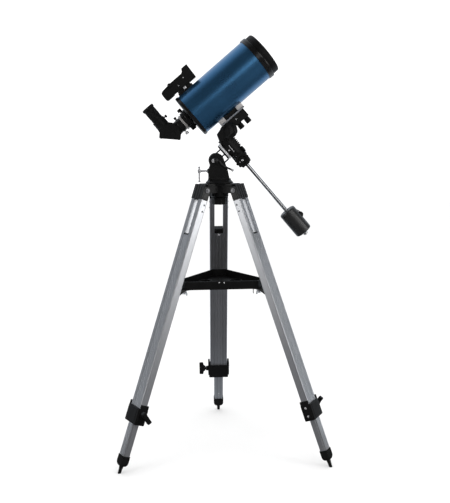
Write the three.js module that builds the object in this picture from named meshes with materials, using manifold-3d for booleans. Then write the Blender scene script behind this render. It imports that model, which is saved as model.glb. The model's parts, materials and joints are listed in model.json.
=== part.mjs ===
// Small Maksutov telescope on a German equatorial mount and an aluminium tripod.
// Millimetres, +Z up. The telescope points towards +X. The origin is on the ground, under the
// middle of the object's box.

import * as THREE from 'three';
import { mergeVertices } from 'three/addons/utils/BufferGeometryUtils.js';
import Module from 'manifold-3d';

const wasm = await Module();
wasm.setup();

// ---------- driving dimensions ----------

const GAP = 0.3; // between pieces that touch
const LARGE = 28; // sides of a large round piece
const MEDIUM = 16;
const SMALL = 10;
const SCREW = 3; // radius of every knob's screw
const SCREW_HOLE = 3.4; // and of its hole

// tripod
const LEG_ANGLES = [90, 210, 330]; // directions of the three legs, degrees from +X
const LEG_TILT = THREE.MathUtils.degToRad(20.18); // of a leg from the vertical
const HINGE_RADIUS = 53.3; // leg hinges from the tripod's axis
const HINGE_HEIGHT = 712;
const HEAD_TOP = 729;
const HEAD_BOTTOM = 692.7;
const HUB_RADIUS = 23.5;
const LUG_WIDTH = 37; // across the lug inside a leg's bracket
const LEG_WIDTH = 50.4; // over the pair of rails
const RAIL_WIDTH = 13.4;
const RAIL_DEPTH = 20;
const BRACKET_END = 25.3; // distances along a leg are from its hinge
const RAIL_END = 600;
const CLAMP_TOP = 578;
const CLAMP_BOTTOM = 625;
const CLAMP_WIDTH = 58;
const CLAMP_DEPTH = 29;
const CLAMP_SCREW_Z = -(CLAMP_TOP + CLAMP_BOTTOM) / 2 + 3;
const LUG_THICK = 5.2; // of the clamp's side lugs
const LOWER_LEG_TOP = 115;
const LOWER_LEG_END = 722;
const LOWER_LEG_WIDTH = 22.6; // between the rails
const LOWER_LEG_DEPTH = 19;
const TONGUE_DEPTH = 10; // of the lower leg's side tongues, which run in the rails' channels
const TONGUE_WIDTH = 26.8;
const FOOT_CAP_TOP = 711;
const FOOT_CAP_BOTTOM = 739;
const FOOT_TIP_END = 762;
const TRAY_BOTTOM = 457;
const TRAY_HEIGHT = 22;
const TRAY_SIDE_RADIUS = 77; // from the axis to a long side
const TRAY_CORNER_RADIUS = 120; // from the axis to a cut corner

// mount
const LATITUDE = THREE.MathUtils.degToRad(40);
const PIVOT = new THREE.Vector3(-8, 0, 788.5); // latitude pivot
const CHEEK_RADIUS = 19.7;
const CHEEK_INSIDE = 13; // half the slot between the base's cheeks
const CHEEK_OUTSIDE = 22;
const BOLT_HEIGHT = 761; // latitude bolt
const BOLT_BAR = -53; // its cross bar
const POLAR_RISE = 3; // polar axis above the latitude pivot
const CIRCLE_NEAR = 29.6; // setting circle along the polar axis
const CIRCLE_FAR = 35;
const CIRCLE_RADIUS = 24;
const DEC_X = 55; // declination axis along the polar axis
const DEC_RADIUS = 19.3;
const DEC_TOP = 27.3;
const LOCK_X = 52; // declination lock knob
const LOCK_Z = -43;
const SLOW_KNOB = [-6, -23]; // slow motion knob, Y and Z
const AXLE_RADIUS = 6;
const BORE = 0.2; // clearance of the axles at the corners of their bores
const SADDLE_BOTTOM = 34;
const SADDLE_TOP = 56.9;
const SADDLE_NEAR = 75.6;
const SADDLE_FAR = 140.5;
const SADDLE_KNOBS = [108, 131.5]; // rear and front knob
const SHAFT_RADIUS = 5;
const SHAFT_TOP = -46;
const SHAFT_END = -303;
const WEIGHT_RADIUS = 22;
const WEIGHT_TOP = -224;
const WEIGHT_BOTTOM = -297;
const WEIGHT_KNOB_Z = -256;

// telescope
const TUBE_AXIS = 129.3; // above the latitude pivot, square to the polar axis
const TUBE_RADIUS = 58.7;
const TUBE_WALL = 1.6;
const TUBE_REAR = 30.8;
const TUBE_FRONT = 248.2;
const CELL_REAR = 21.4;
const RING_FRONT = 259;
const RING_RADIUS = 61;
const CAP_RADIUS = 57.3;
const CAP_FRONT = 278;
const BACK_END = -16; // rear end of the visual back
const EYEPIECE_X = -46.5; // eyepiece axis along the tube's axis
const FOCUS_KNOB = [-20, TUBE_AXIS - 24]; // Y and Z
const SCREW_X = -10.3; // thumbscrews of the visual back

// ---------- materials ----------

const COLOURS = {
  castBlack: [0x1b1c1e, 0.55, 0.3],
  plasticBlack: [0x111214, 0.6, 0.0],
  rubberBlack: [0x101010, 0.85, 0.0],
  aluminium: [0xb4b7bb, 0.4, 0.9],
  chrome: [0xd5d7da, 0.2, 1.0],
  tubeBlue: [0x2b6792, 0.35, 0.6],
  glass: [0x9fb6b0, 0.05, 0.0],
  mirror: [0xe6e8ea, 0.05, 1.0],
};

function paint(name) {
  const [color, roughness, metalness] = COLOURS[name];
  return new THREE.MeshStandardMaterial({ color, roughness, metalness });
}

// ---------- solids ----------

function bare(geometry) {
  const copy = geometry.index ? geometry.toNonIndexed() : geometry.clone();
  copy.deleteAttribute('normal');
  copy.deleteAttribute('uv');
  const merged = mergeVertices(copy, 1e-3);
  const p = merged.attributes.position;
  const kept = [];
  let volume = 0;
  for (let i = 0; i < merged.index.count; i += 3) {
    const corners = [0, 1, 2].map((k) => merged.index.getX(i + k));
    if (new Set(corners).size < 3) continue;
    kept.push(...corners);
    const [a, b, c] = corners.map((k) => new THREE.Vector3().fromBufferAttribute(p, k));
    volume += a.dot(b.cross(c));
  }
  merged.setIndex(volume < 0 ? kept.reverse() : kept);
  return merged;
}

function solid(geometry) {
  const g = bare(geometry);
  const mesh = new wasm.Mesh({
    numProp: 3,
    vertProperties: new Float32Array(g.attributes.position.array),
    triVerts: new Uint32Array(g.index.array),
  });
  return new wasm.Manifold(mesh);
}

function shaped(manifold) {
  const out = manifold.getMesh();
  const geometry = new THREE.BufferGeometry();
  geometry.setAttribute('position', new THREE.BufferAttribute(new Float32Array(out.vertProperties), 3));
  geometry.setIndex(new THREE.BufferAttribute(new Uint32Array(out.triVerts), 1));
  return geometry;
}

function join(...geometries) {
  return shaped(geometries.map(solid).reduce((sum, next) => sum.add(next)));
}

function cut(geometry, ...tools) {
  return shaped(tools.map(solid).reduce((rest, tool) => rest.subtract(tool), solid(geometry)));
}

// A box given by its lowest and highest corners.
function block(x0, x1, y0, y1, z0, z1) {
  const geometry = new THREE.BoxGeometry(x1 - x0, y1 - y0, z1 - z0);
  return geometry.translate((x0 + x1) / 2, (y0 + y1) / 2, (z0 + z1) / 2);
}

// Cylinders along each axis, from start to end.
function rodZ(radius, z0, z1, x = 0, y = 0, sides = MEDIUM) {
  const geometry = new THREE.CylinderGeometry(radius, radius, z1 - z0, sides);
  return geometry.rotateX(Math.PI / 2).translate(x, y, (z0 + z1) / 2);
}

function rodX(radius, x0, x1, y = 0, z = 0, sides = MEDIUM) {
  const geometry = new THREE.CylinderGeometry(radius, radius, x1 - x0, sides);
  return geometry.rotateZ(Math.PI / 2).translate((x0 + x1) / 2, y, z);
}

function rodY(radius, y0, y1, x = 0, z = 0, sides = MEDIUM) {
  const geometry = new THREE.CylinderGeometry(radius, radius, y1 - y0, sides);
  return geometry.translate(x, (y0 + y1) / 2, z);
}

// A turned piece about Z or X; the profile lists [radius, distance along the axis].
function turnedZ(profile, sides = MEDIUM) {
  const points = profile.map(([r, z]) => new THREE.Vector2(r, z));
  return new THREE.LatheGeometry(points, sides).rotateX(Math.PI / 2);
}

function turnedX(profile, y = 0, z = 0, sides = MEDIUM) {
  const points = profile.map(([r, x]) => new THREE.Vector2(r, -x));
  return new THREE.LatheGeometry(points, sides).rotateZ(Math.PI / 2).translate(0, y, z);
}

function outline(points) {
  return new THREE.Shape(points.map(([x, y]) => new THREE.Vector2(x, y)));
}

// A plate with its outline in the XZ plane, from y0 to y1.
function plateXZ(shape, y0, y1, curveSegments = SMALL) {
  const geometry = new THREE.ExtrudeGeometry(shape, { depth: y1 - y0, bevelEnabled: false, curveSegments });
  return geometry.rotateX(Math.PI / 2).translate(0, y1, 0);
}

// A prism with its outline in the XY plane, from z0 to z1.
function prismZ(shape, z0, z1, curveSegments = SMALL) {
  const geometry = new THREE.ExtrudeGeometry(shape, { depth: z1 - z0, bevelEnabled: false, curveSegments });
  return geometry.translate(0, 0, z0);
}

function part(parent, name, colour, geometry) {
  const mesh = new THREE.Mesh(bare(geometry), paint(colour));
  mesh.name = name;
  parent.add(mesh);
}

// A round knob with lobes, turned about Z.
function lobedShape(radius, depth, lobes, steps = 4) {
  const points = [];
  for (let i = 0; i < lobes * steps; i += 1) {
    const angle = (i / (lobes * steps)) * Math.PI * 2;
    const r = radius - depth * 0.5 * (1 - Math.cos(angle * lobes));
    points.push([r * Math.cos(angle), r * Math.sin(angle)]);
  }
  return outline(points);
}

// ---------- tripod ----------

function tripodHead() {
  const pieces = [rodZ(HUB_RADIUS, HEAD_BOTTOM, HEAD_TOP - 4, 0, 0, LARGE)];
  pieces.push(rodZ(41, HEAD_TOP - 6, HEAD_TOP, 0, 0, LARGE));
  for (const angle of LEG_ANGLES) {
    const turn = THREE.MathUtils.degToRad(angle);
    const half = LUG_WIDTH / 2;
    const arm = block(15, HINGE_RADIUS, -half, half, HINGE_HEIGHT - 8, HINGE_HEIGHT + 8);
    const end = rodY(8, -half, half, HINGE_RADIUS, HINGE_HEIGHT, SMALL);
    const web = block(15, HINGE_RADIUS - 9, -half, half, HINGE_HEIGHT + 7, HEAD_TOP - 1);
    const top = block(20, HINGE_RADIUS - 4, -half - 4, half + 4, HEAD_TOP - 6, HEAD_TOP);
    pieces.push(...[arm, end, web, top].map((piece) => piece.rotateZ(turn)));
  }
  return cut(join(...pieces), rodZ(5.5, HEAD_BOTTOM - 1, HEAD_TOP + 1));
}

function azimuthLockKnob() {
  const grip = prismZ(lobedShape(20.2, 1.2, 8), 673, 692.4);
  return join(grip, rodZ(5, 690, 741));
}

// Everything on a leg is drawn with the leg hanging down -Z from its hinge, +X facing outwards.
function legGroup(parent, angle) {
  const turn = THREE.MathUtils.degToRad(angle);
  const group = new THREE.Group();
  group.position.set(HINGE_RADIUS * Math.cos(turn), HINGE_RADIUS * Math.sin(turn), HINGE_HEIGHT);
  group.rotation.set(0, -LEG_TILT, turn, 'ZYX');
  parent.add(group);
  return group;
}

function legBracket() {
  const half = LEG_WIDTH / 2;
  const inside = LUG_WIDTH / 2 + GAP;
  const ear = new THREE.Shape();
  ear.moveTo(-10, -BRACKET_END);
  ear.lineTo(10, -BRACKET_END);
  ear.lineTo(10, 0);
  ear.absarc(0, 0, 10, 0, Math.PI, false);
  ear.closePath();
  const ears = [plateXZ(ear, -half, -inside), plateXZ(ear, inside, half)];
  const foot = block(-10, 10, -half, half, -BRACKET_END, -12);
  const wall = block(8.8, 11.5, -half, half, -BRACKET_END, 14);
  return join(foot, wall, ...ears);
}

function legRail(side) {
  const outer = (side * LEG_WIDTH) / 2;
  const inner = side * (LEG_WIDTH / 2 - RAIL_WIDTH);
  const floor = inner + side * 2.2;
  const deep = RAIL_DEPTH / 2;
  const groove = TONGUE_DEPTH / 2 + GAP;
  const shape = outline([
    [-deep, outer], [deep, outer], [deep, inner], [groove, inner],
    [groove, floor], [-groove, floor], [-groove, inner], [-deep, inner],
  ]);
  return prismZ(shape, -RAIL_END, -BRACKET_END - GAP);
}

function legClamp() {
  const [w, d] = [CLAMP_WIDTH / 2, CLAMP_DEPTH / 2];
  const collar = block(-d, d, -w, w, -CLAMP_BOTTOM, -CLAMP_TOP);
  const lugs = [-1, 1].map((side) => block(
    -d + 3, d - 3, side * w - LUG_THICK / 2, side * w + LUG_THICK / 2, -CLAMP_BOTTOM + 8, -CLAMP_TOP + 9,
  ));
  const boss = rodY(7, w - 1, w + 9.5, 0, CLAMP_SCREW_Z);
  const railHole = block(
    -RAIL_DEPTH / 2 - GAP, RAIL_DEPTH / 2 + GAP,
    -LEG_WIDTH / 2 - GAP, LEG_WIDTH / 2 + GAP, -RAIL_END - GAP, -CLAMP_TOP + 20,
  );
  const legHole = block(
    -LOWER_LEG_DEPTH / 2 - GAP, LOWER_LEG_DEPTH / 2 + GAP,
    -TONGUE_WIDTH / 2 - GAP, TONGUE_WIDTH / 2 + GAP, -CLAMP_BOTTOM - 1, -RAIL_END + 1,
  );
  const screwHole = rodY(SCREW_HOLE, LEG_WIDTH / 2, w + 12, 0, CLAMP_SCREW_Z, SMALL);
  return cut(join(collar, ...lugs, boss), railHole, legHole, screwHole);
}

function clampKnob() {
  const side = CLAMP_WIDTH / 2;
  const profile = [
    [0, side - 2], [SCREW, side - 2], [SCREW, side + 10], [4, side + 11], [15.5, side + 17.5],
    [17.5, side + 19], [17.5, side + 27], [16.5, side + 29.5], [0, side + 29.5],
  ];
  return turnedZ(profile, SMALL + 4).rotateX(-Math.PI / 2).translate(0, 0, CLAMP_SCREW_Z);
}

function lowerLeg() {
  const [w, d] = [LOWER_LEG_WIDTH / 2, LOWER_LEG_DEPTH / 2];
  const [t, k] = [TONGUE_WIDTH / 2, TONGUE_DEPTH / 2];
  const section = outline([
    [-d, -w], [-k, -w], [-k, -t], [k, -t], [k, -w], [d, -w],
    [d, w], [k, w], [k, t], [-k, t], [-k, w], [-d, w],
  ]);
  return prismZ(section, -LOWER_LEG_END, -LOWER_LEG_TOP);
}

// The foot's tip is cut flat where it stands on the ground.
function legFoot() {
  const cap = block(-11, 11, -14.4, 14.4, -FOOT_CAP_BOTTOM, -FOOT_CAP_TOP);
  const sleeve = block(
    -LOWER_LEG_DEPTH / 2 - GAP, LOWER_LEG_DEPTH / 2 + GAP,
    -TONGUE_WIDTH / 2 - GAP, TONGUE_WIDTH / 2 + GAP, -LOWER_LEG_END - GAP, -FOOT_CAP_TOP + 1,
  );
  const tip = turnedZ([
    [0, -FOOT_TIP_END], [3.2, -FOOT_TIP_END], [4.3, -FOOT_TIP_END + 2],
    [5.2, -FOOT_CAP_BOTTOM + 2], [0, -FOOT_CAP_BOTTOM + 2],
  ], SMALL);
  const ground = block(-40, 40, -40, 40, -40, 0).rotateY(LEG_TILT);
  const reach = HINGE_HEIGHT / Math.cos(LEG_TILT);
  return cut(join(cut(cap, sleeve), tip), ground.translate(0, 0, -reach));
}

function trayShape(inset) {
  const side = TRAY_SIDE_RADIUS - inset;
  const corner = TRAY_CORNER_RADIUS - inset;
  const points = [];
  for (const angle of LEG_ANGLES) {
    const turn = THREE.MathUtils.degToRad(angle);
    const half = 2 * side / Math.sqrt(3) - corner / Math.sqrt(3);
    for (const end of [-half, half]) {
      points.push([
        corner * Math.cos(turn) - end * Math.sin(turn),
        corner * Math.sin(turn) + end * Math.cos(turn),
      ]);
    }
  }
  return outline(points);
}

function accessoryTray() {
  const top = TRAY_BOTTOM + TRAY_HEIGHT;
  const body = prismZ(trayShape(0), TRAY_BOTTOM, top);
  return cut(body, prismZ(trayShape(2.5), TRAY_BOTTOM + 2.5, top + 1));
}

// A corner bracket under the tray: a tongue, an upright against the leg and its wing nut.
function trayBracket(angle) {
  const below = TRAY_BOTTOM - GAP;
  const legFace = (z) => HINGE_RADIUS + (HINGE_HEIGHT - z) * Math.tan(LEG_TILT)
    - (RAIL_DEPTH / 2 + GAP) / Math.cos(LEG_TILT);
  const side = outline([
    [103, below], [103, below - 3], [legFace(below - 3) - 7, below - 3], [legFace(432) - 3, 432],
    [legFace(432), 432], [legFace(below + 12), below + 12], [legFace(below + 12) - 3, below + 12],
    [legFace(below) - 3, below],
  ]);
  const screw = rodZ(SCREW, below - 14, below - 2, 112, 0, SMALL);
  const wings = block(110.5, 113.5, -9, 9, below - 12, below - 6);
  return join(plateXZ(side, -11, 11), screw, wings).rotateZ(THREE.MathUtils.degToRad(angle));
}

function addTripod(parent) {
  part(parent, 'tripod_head', 'castBlack', tripodHead());
  part(parent, 'azimuth_lock_knob', 'plasticBlack', azimuthLockKnob());
  LEG_ANGLES.forEach((angle, index) => {
    const leg = legGroup(parent, angle);
    const n = index + 1;
    part(leg, `leg_${n}_bracket`, 'castBlack', legBracket());
    part(leg, `leg_${n}_rail_left`, 'aluminium', legRail(-1));
    part(leg, `leg_${n}_rail_right`, 'aluminium', legRail(1));
    part(leg, `leg_${n}_clamp`, 'plasticBlack', legClamp());
    part(leg, `leg_${n}_clamp_knob`, 'plasticBlack', clampKnob());
    part(leg, `leg_${n}_lower_section`, 'aluminium', lowerLeg());
    part(leg, `leg_${n}_foot`, 'rubberBlack', legFoot());
    part(parent, `tray_bracket_${n}`, 'castBlack', trayBracket(angle));
  });
  part(parent, 'accessory_tray', 'plasticBlack', accessoryTray());
}

// ---------- azimuth base ----------

// The base's front and back cheeks: a round top about the pivot, an upright rear edge and a
// sloping front edge.
function cheekShape() {
  const tangent = 0.305;
  const shape = new THREE.Shape();
  shape.moveTo(-29, 738);
  shape.lineTo(27, 738);
  shape.lineTo(PIVOT.x + CHEEK_RADIUS * Math.cos(tangent), PIVOT.z + CHEEK_RADIUS * Math.sin(tangent));
  shape.absarc(PIVOT.x, PIVOT.z, CHEEK_RADIUS, tangent, Math.PI * 1.16, false);
  shape.lineTo(-24.5, 774);
  shape.lineTo(-29, 764);
  shape.closePath();
  return shape;
}

function azimuthBase() {
  const bottom = HEAD_TOP + GAP;
  const profile = [[0, bottom], [36, bottom], [36, bottom + 3], [29.5, bottom + 12], [0, bottom + 12]];
  const flange = turnedZ(profile, LARGE);
  const body = plateXZ(cheekShape(), -CHEEK_OUTSIDE, CHEEK_OUTSIDE);
  const slot = block(-60, 60, -CHEEK_INSIDE, CHEEK_INSIDE, 767, 830);
  const boltHole = rodZ(5.5, bottom - 1, 743);
  const screwHole = rodX(SCREW_HOLE, -40, -19.5, 0, BOLT_HEIGHT, SMALL);
  return cut(join(flange, body), slot, boltHole, screwHole);
}

function latitudeBolt() {
  const rod = rodX(SCREW, BOLT_BAR, -20.5, 0, BOLT_HEIGHT, SMALL);
  const hub = rodX(4.6, BOLT_BAR - 4, BOLT_BAR + 3.5, 0, BOLT_HEIGHT, SMALL);
  const bar = rodZ(1.8, 733, 772, BOLT_BAR, 0, SMALL);
  const caps = [[731.8, 735], [770, 773.2]].map(([z0, z1]) => rodZ(3, z0, z1, BOLT_BAR, 0, SMALL));
  return join(rod, hub, bar, ...caps);
}

// A bent lever with a ball, on a hub in front of the near cheek.
function latitudeLockLever() {
  const y = -CHEEK_OUTSIDE - 5;
  const route = new THREE.CatmullRomCurve3([
    new THREE.Vector3(PIVOT.x, y, PIVOT.z + 1),
    new THREE.Vector3(0, y - 1, 787.5),
    new THREE.Vector3(6, y - 2, 779.5),
    new THREE.Vector3(17, y - 2, 771.5),
    new THREE.Vector3(32, y - 2, 764.5),
  ]);
  const section = new THREE.Shape();
  section.absarc(0, 0, 1.7, 0, Math.PI * 2, false);
  const arm = new THREE.ExtrudeGeometry(section, { steps: 10, extrudePath: route, curveSegments: 4 });
  const ball = new THREE.SphereGeometry(3.6, SMALL, 8).translate(33, y - 2, 763.8);
  const hub = rodY(6.5, -CHEEK_OUTSIDE - 8, -CHEEK_OUTSIDE - GAP, PIVOT.x, PIVOT.z, SMALL);
  return join(arm, ball, hub);
}

// ---------- equatorial head, drawn about the latitude pivot with +X up the polar axis ----------

function polarHousing() {
  const barrel = rodY(17.9, -CHEEK_INSIDE + GAP, CHEEK_INSIDE - GAP, 0, 0, LARGE);
  const ribs = [14, -2.5, -18.5].map((z) => block(3, 27, -12, 12, z - 1.5, z + 1.5));
  const flange = rodX(22, CIRCLE_NEAR - GAP - 3.2, CIRCLE_NEAR - GAP, 0, POLAR_RISE, LARGE);
  const hole = rodX(AXLE_RADIUS + BORE, 20, 40, 0, POLAR_RISE);
  return cut(join(barrel, ...ribs, flange), hole);
}

function settingCircle() {
  const ring = rodX(CIRCLE_RADIUS, CIRCLE_NEAR, CIRCLE_FAR, 0, POLAR_RISE, LARGE);
  return cut(ring, rodX(AXLE_RADIUS + BORE, CIRCLE_NEAR - 1, CIRCLE_FAR + 1, 0, POLAR_RISE));
}

function polarAxle() {
  return rodX(AXLE_RADIUS, CIRCLE_NEAR - GAP - 3.2, 46, 0, POLAR_RISE);
}

function decHousing() {
  const profile = [
    [0, -60], [14.5, -60], [16.5, -56], [17, -40], [DEC_RADIUS, -36],
    [DEC_RADIUS, DEC_TOP - GAP], [0, DEC_TOP - GAP],
  ];
  const barrel = turnedZ(profile, LARGE).translate(DEC_X, 0, 0);
  const neck = rodX(18.5, CIRCLE_FAR + GAP, DEC_X, 0, POLAR_RISE, LARGE);
  const gearCover = block(DEC_X + 8, DEC_X + 18.5, -17, 12, -12, 16);
  const knobBoss = rodX(6, DEC_X + 10, DEC_X + 19, ...SLOW_KNOB, SMALL);
  const decBore = rodZ(AXLE_RADIUS + BORE, -30, DEC_TOP + 1, DEC_X);
  const polarBore = rodX(AXLE_RADIUS + BORE, CIRCLE_FAR - 1, 46.4, 0, POLAR_RISE);
  const shaftBore = rodZ(SHAFT_RADIUS + GAP, -61, SHAFT_TOP + GAP, DEC_X);
  const lockBore = rodY(SCREW_HOLE, -20, -10, LOCK_X, LOCK_Z, SMALL);
  return cut(join(barrel, neck, gearCover, knobBoss), decBore, polarBore, shaftBore, lockBore);
}

function decAxle() {
  return rodZ(AXLE_RADIUS, -29, 46, DEC_X);
}

function decLockKnob() {
  const grip = prismZ(lobedShape(20, 2.6, 12), 0, 11).rotateX(Math.PI / 2);
  const hub = rodY(9, -14.5, -9, 0, 0);
  const stem = rodY(SCREW, -2, 8, 0, 0, SMALL);
  return join(grip, hub, stem).translate(LOCK_X, -DEC_RADIUS - 0.5, LOCK_Z);
}

function slowMotionKnob() {
  const start = DEC_X + 19 + GAP;
  const end = start + 8;
  const profile = [[0, start], [4, start], [8, start + 3], [8.4, end - 2], [7, end], [0, end]];
  return turnedX(profile, ...SLOW_KNOB, SMALL + 4);
}

// The head over the declination axis, with the round cover of its drive on the near side.
function decHead() {
  const side = outline([
    [37.3, DEC_TOP], [75.3, DEC_TOP], [75.3, SADDLE_TOP], [48.5, SADDLE_TOP], [46.7, 53],
  ]);
  const body = plateXZ(side, -19, 19);
  const cover = rodY(24, -7, 7, 0, 0, LARGE).rotateZ(THREE.MathUtils.degToRad(-46));
  cover.rotateY(LATITUDE).translate(76, -15, 38.5);
  const saddleRoom = block(SADDLE_NEAR - GAP, SADDLE_FAR + 9, -21 - GAP, 40, SADDLE_BOTTOM - GAP, 80);
  const railRoom = block(0, 200, -60, 60, SADDLE_TOP, 90);
  const axleHole = rodZ(AXLE_RADIUS + BORE, DEC_TOP - 1, 46.4, DEC_X);
  const housingRoom = block(0, 100, -60, 60, 0, DEC_TOP);
  return cut(join(body, cover), saddleRoom, railRoom, axleHole, housingRoom);
}

function dovetailSaddle() {
  const body = block(SADDLE_NEAR, SADDLE_FAR, -21, 21, SADDLE_BOTTOM, SADDLE_TOP);
  const relief = block(SADDLE_NEAR + 18, SADDLE_FAR - 18, -30, 30, SADDLE_BOTTOM - 1, SADDLE_BOTTOM + 4);
  const holes = SADDLE_KNOBS.map((x) => rodZ(SCREW_HOLE, SADDLE_BOTTOM - 1, 48, x, 0, SMALL));
  return cut(body, relief, ...holes);
}

function saddleKnob(x) {
  const top = SADDLE_BOTTOM - GAP;
  const profile = [[0, 18], [6, 18], [7, 19.5], [7, 29], [5, top], [SCREW, top], [SCREW, 47.5], [0, 47.5]];
  return turnedZ(profile, SMALL).translate(x, 0, 0);
}

function counterweightShaft() {
  return rodZ(SHAFT_RADIUS, SHAFT_END, SHAFT_TOP, DEC_X);
}

function counterweight() {
  const [edge, shoulder] = [WEIGHT_RADIUS - 4, WEIGHT_RADIUS - 1];
  const profile = [
    [0, WEIGHT_BOTTOM], [edge, WEIGHT_BOTTOM], [shoulder, WEIGHT_BOTTOM + 1.5],
    [WEIGHT_RADIUS, WEIGHT_BOTTOM + 4], [WEIGHT_RADIUS, WEIGHT_TOP - 4],
    [shoulder, WEIGHT_TOP - 1.5], [edge, WEIGHT_TOP], [0, WEIGHT_TOP],
  ];
  const body = turnedZ(profile, LARGE).translate(DEC_X, 0, 0);
  const bore = rodZ(SHAFT_RADIUS + GAP, WEIGHT_BOTTOM - 1, WEIGHT_TOP + 1, DEC_X);
  const screwHole = rodX(SCREW_HOLE, DEC_X, DEC_X + 30, 0, WEIGHT_KNOB_Z, SMALL);
  return cut(body, bore, screwHole);
}

function counterweightKnob() {
  const start = DEC_X + SHAFT_RADIUS + 0.5;
  const face = DEC_X + WEIGHT_RADIUS + GAP;
  const profile = [
    [0, start], [SCREW, start], [SCREW, face], [6.5, face + 1.5],
    [7, face + 8], [5.5, face + 10], [0, face + 10],
  ];
  return turnedX(profile, 0, WEIGHT_KNOB_Z, SMALL);
}

// A washer on the end of the shaft that stops the weight from sliding off.
function shaftEndStop() {
  const [end, rim] = [SHAFT_END - 5, SHAFT_END + 1];
  const profile = [[0, end], [6, end], [7.5, end + 1.5], [7.5, rim], [0, rim]];
  const body = turnedZ(profile, MEDIUM).translate(DEC_X, 0, 0);
  return cut(body, rodZ(SHAFT_RADIUS + GAP, SHAFT_END - GAP, SHAFT_END + 3, DEC_X));
}

// ---------- telescope, drawn in the same tilted frame ----------

function tubeRoom(radius = TUBE_RADIUS + GAP) {
  return rodX(radius, -50, 300, 0, TUBE_AXIS, 2 * LARGE);
}

function dovetailRail() {
  const bar = block(69, 146, -19, 19, SADDLE_TOP + GAP, 61);
  const core = block(86, 128, -12, 12, 60, 68);
  const feet = [[69, 87], [127, 146]].map(([x0, x1]) => block(x0, x1, -14, 14, 60, 75));
  return cut(join(bar, core, ...feet), tubeRoom());
}

function turnedTube(profile, sides = LARGE) {
  return turnedX(profile, 0, TUBE_AXIS, sides);
}

function mainTube() {
  const inner = TUBE_RADIUS - TUBE_WALL;
  return turnedTube([
    [inner, TUBE_REAR], [TUBE_RADIUS, TUBE_REAR], [TUBE_RADIUS, TUBE_FRONT], [inner, TUBE_FRONT],
    [inner, TUBE_REAR],
  ]);
}

function rearCell() {
  const lip = TUBE_RADIUS - TUBE_WALL - GAP;
  const body = turnedTube([
    [14, CELL_REAR], [57.5, CELL_REAR], [60.2, CELL_REAR + 2.5], [60.2, TUBE_REAR - GAP],
    [lip, TUBE_REAR - GAP], [lip, TUBE_REAR + 5], [14, TUBE_REAR + 5], [14, CELL_REAR],
  ]);
  const focusHole = rodX(SCREW_HOLE, CELL_REAR - 1, TUBE_REAR + 6, ...FOCUS_KNOB, SMALL);
  return cut(body, focusHole);
}

function frontRing() {
  const lip = TUBE_RADIUS - TUBE_WALL - GAP;
  const start = TUBE_FRONT + GAP;
  return turnedTube([
    [52, start - 8], [lip, start - 8], [lip, start], [RING_RADIUS, start],
    [RING_RADIUS, RING_FRONT - 2], [RING_RADIUS - 1.5, RING_FRONT], [55, RING_FRONT],
    [52, start + 4], [52, start - 8],
  ]);
}

// A deeply curved meniscus, hollow towards the sky.
function correctorLens() {
  const sag = (r, curve) => (r * r) / (2 * curve);
  const radii = [0, 17, 34, 51.5];
  const front = radii.map((r) => [r, 240 + sag(r, 140)]);
  const back = radii.map((r) => [r, 233 + sag(r, 146)]).reverse();
  return turnedTube([...front, ...back]);
}

function primaryMirror() {
  return turnedTube([[12.5, 44], [52, 44], [52, 55], [12.5, 52], [12.5, 44]]);
}

function baffleTube() {
  return turnedTube([[10.5, 40], [12.2, 40], [12.2, 150], [10.5, 150], [10.5, 40]], MEDIUM);
}

function dustCap() {
  const start = RING_FRONT + GAP;
  return turnedTube([
    [0, CAP_FRONT - 1], [48, CAP_FRONT - 4.5], [48, start - 5], [51, start - 5], [51, start],
    [CAP_RADIUS, start], [CAP_RADIUS, CAP_FRONT - 3.5], [CAP_RADIUS - 2.5, CAP_FRONT - 0.5],
    [40, CAP_FRONT + 1.5], [0, CAP_FRONT + 2.8],
  ]);
}

function focusKnob() {
  const base = CELL_REAR - GAP;
  const profile = [
    [0, base - 16], [6, base - 16], [7, base - 14.5], [7, base - 4], [SCREW, base - 2],
    [SCREW, TUBE_REAR + 4], [0, TUBE_REAR + 4],
  ];
  return turnedX(profile, ...FOCUS_KNOB, SMALL + 4);
}

function visualBack() {
  const start = CELL_REAR - GAP;
  const body = turnedTube([
    [15.6, BACK_END], [18, BACK_END], [18.6, BACK_END + 1.5], [18.6, 3], [21, 5],
    [21, start], [15.6, start], [15.6, BACK_END],
  ]);
  const ring = turnedTube([
    [17, 5], [25.5, 5], [26.5, 7], [26.5, start - 3], [25.5, start - 1], [17, start - 1], [17, 5],
  ]);
  const focusRoom = block(0, 30, -40, -6, 80, TUBE_AXIS - 12);
  const collar = cut(ring, focusRoom);
  const screws = [
    rodZ(3.6, TUBE_AXIS + 17, TUBE_AXIS + 26, SCREW_X, 0, SMALL),
    rodZ(3.2, TUBE_AXIS - 29, TUBE_AXIS - 17, SCREW_X, 0, SMALL),
  ];
  return join(body, collar, ...screws);
}

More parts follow.
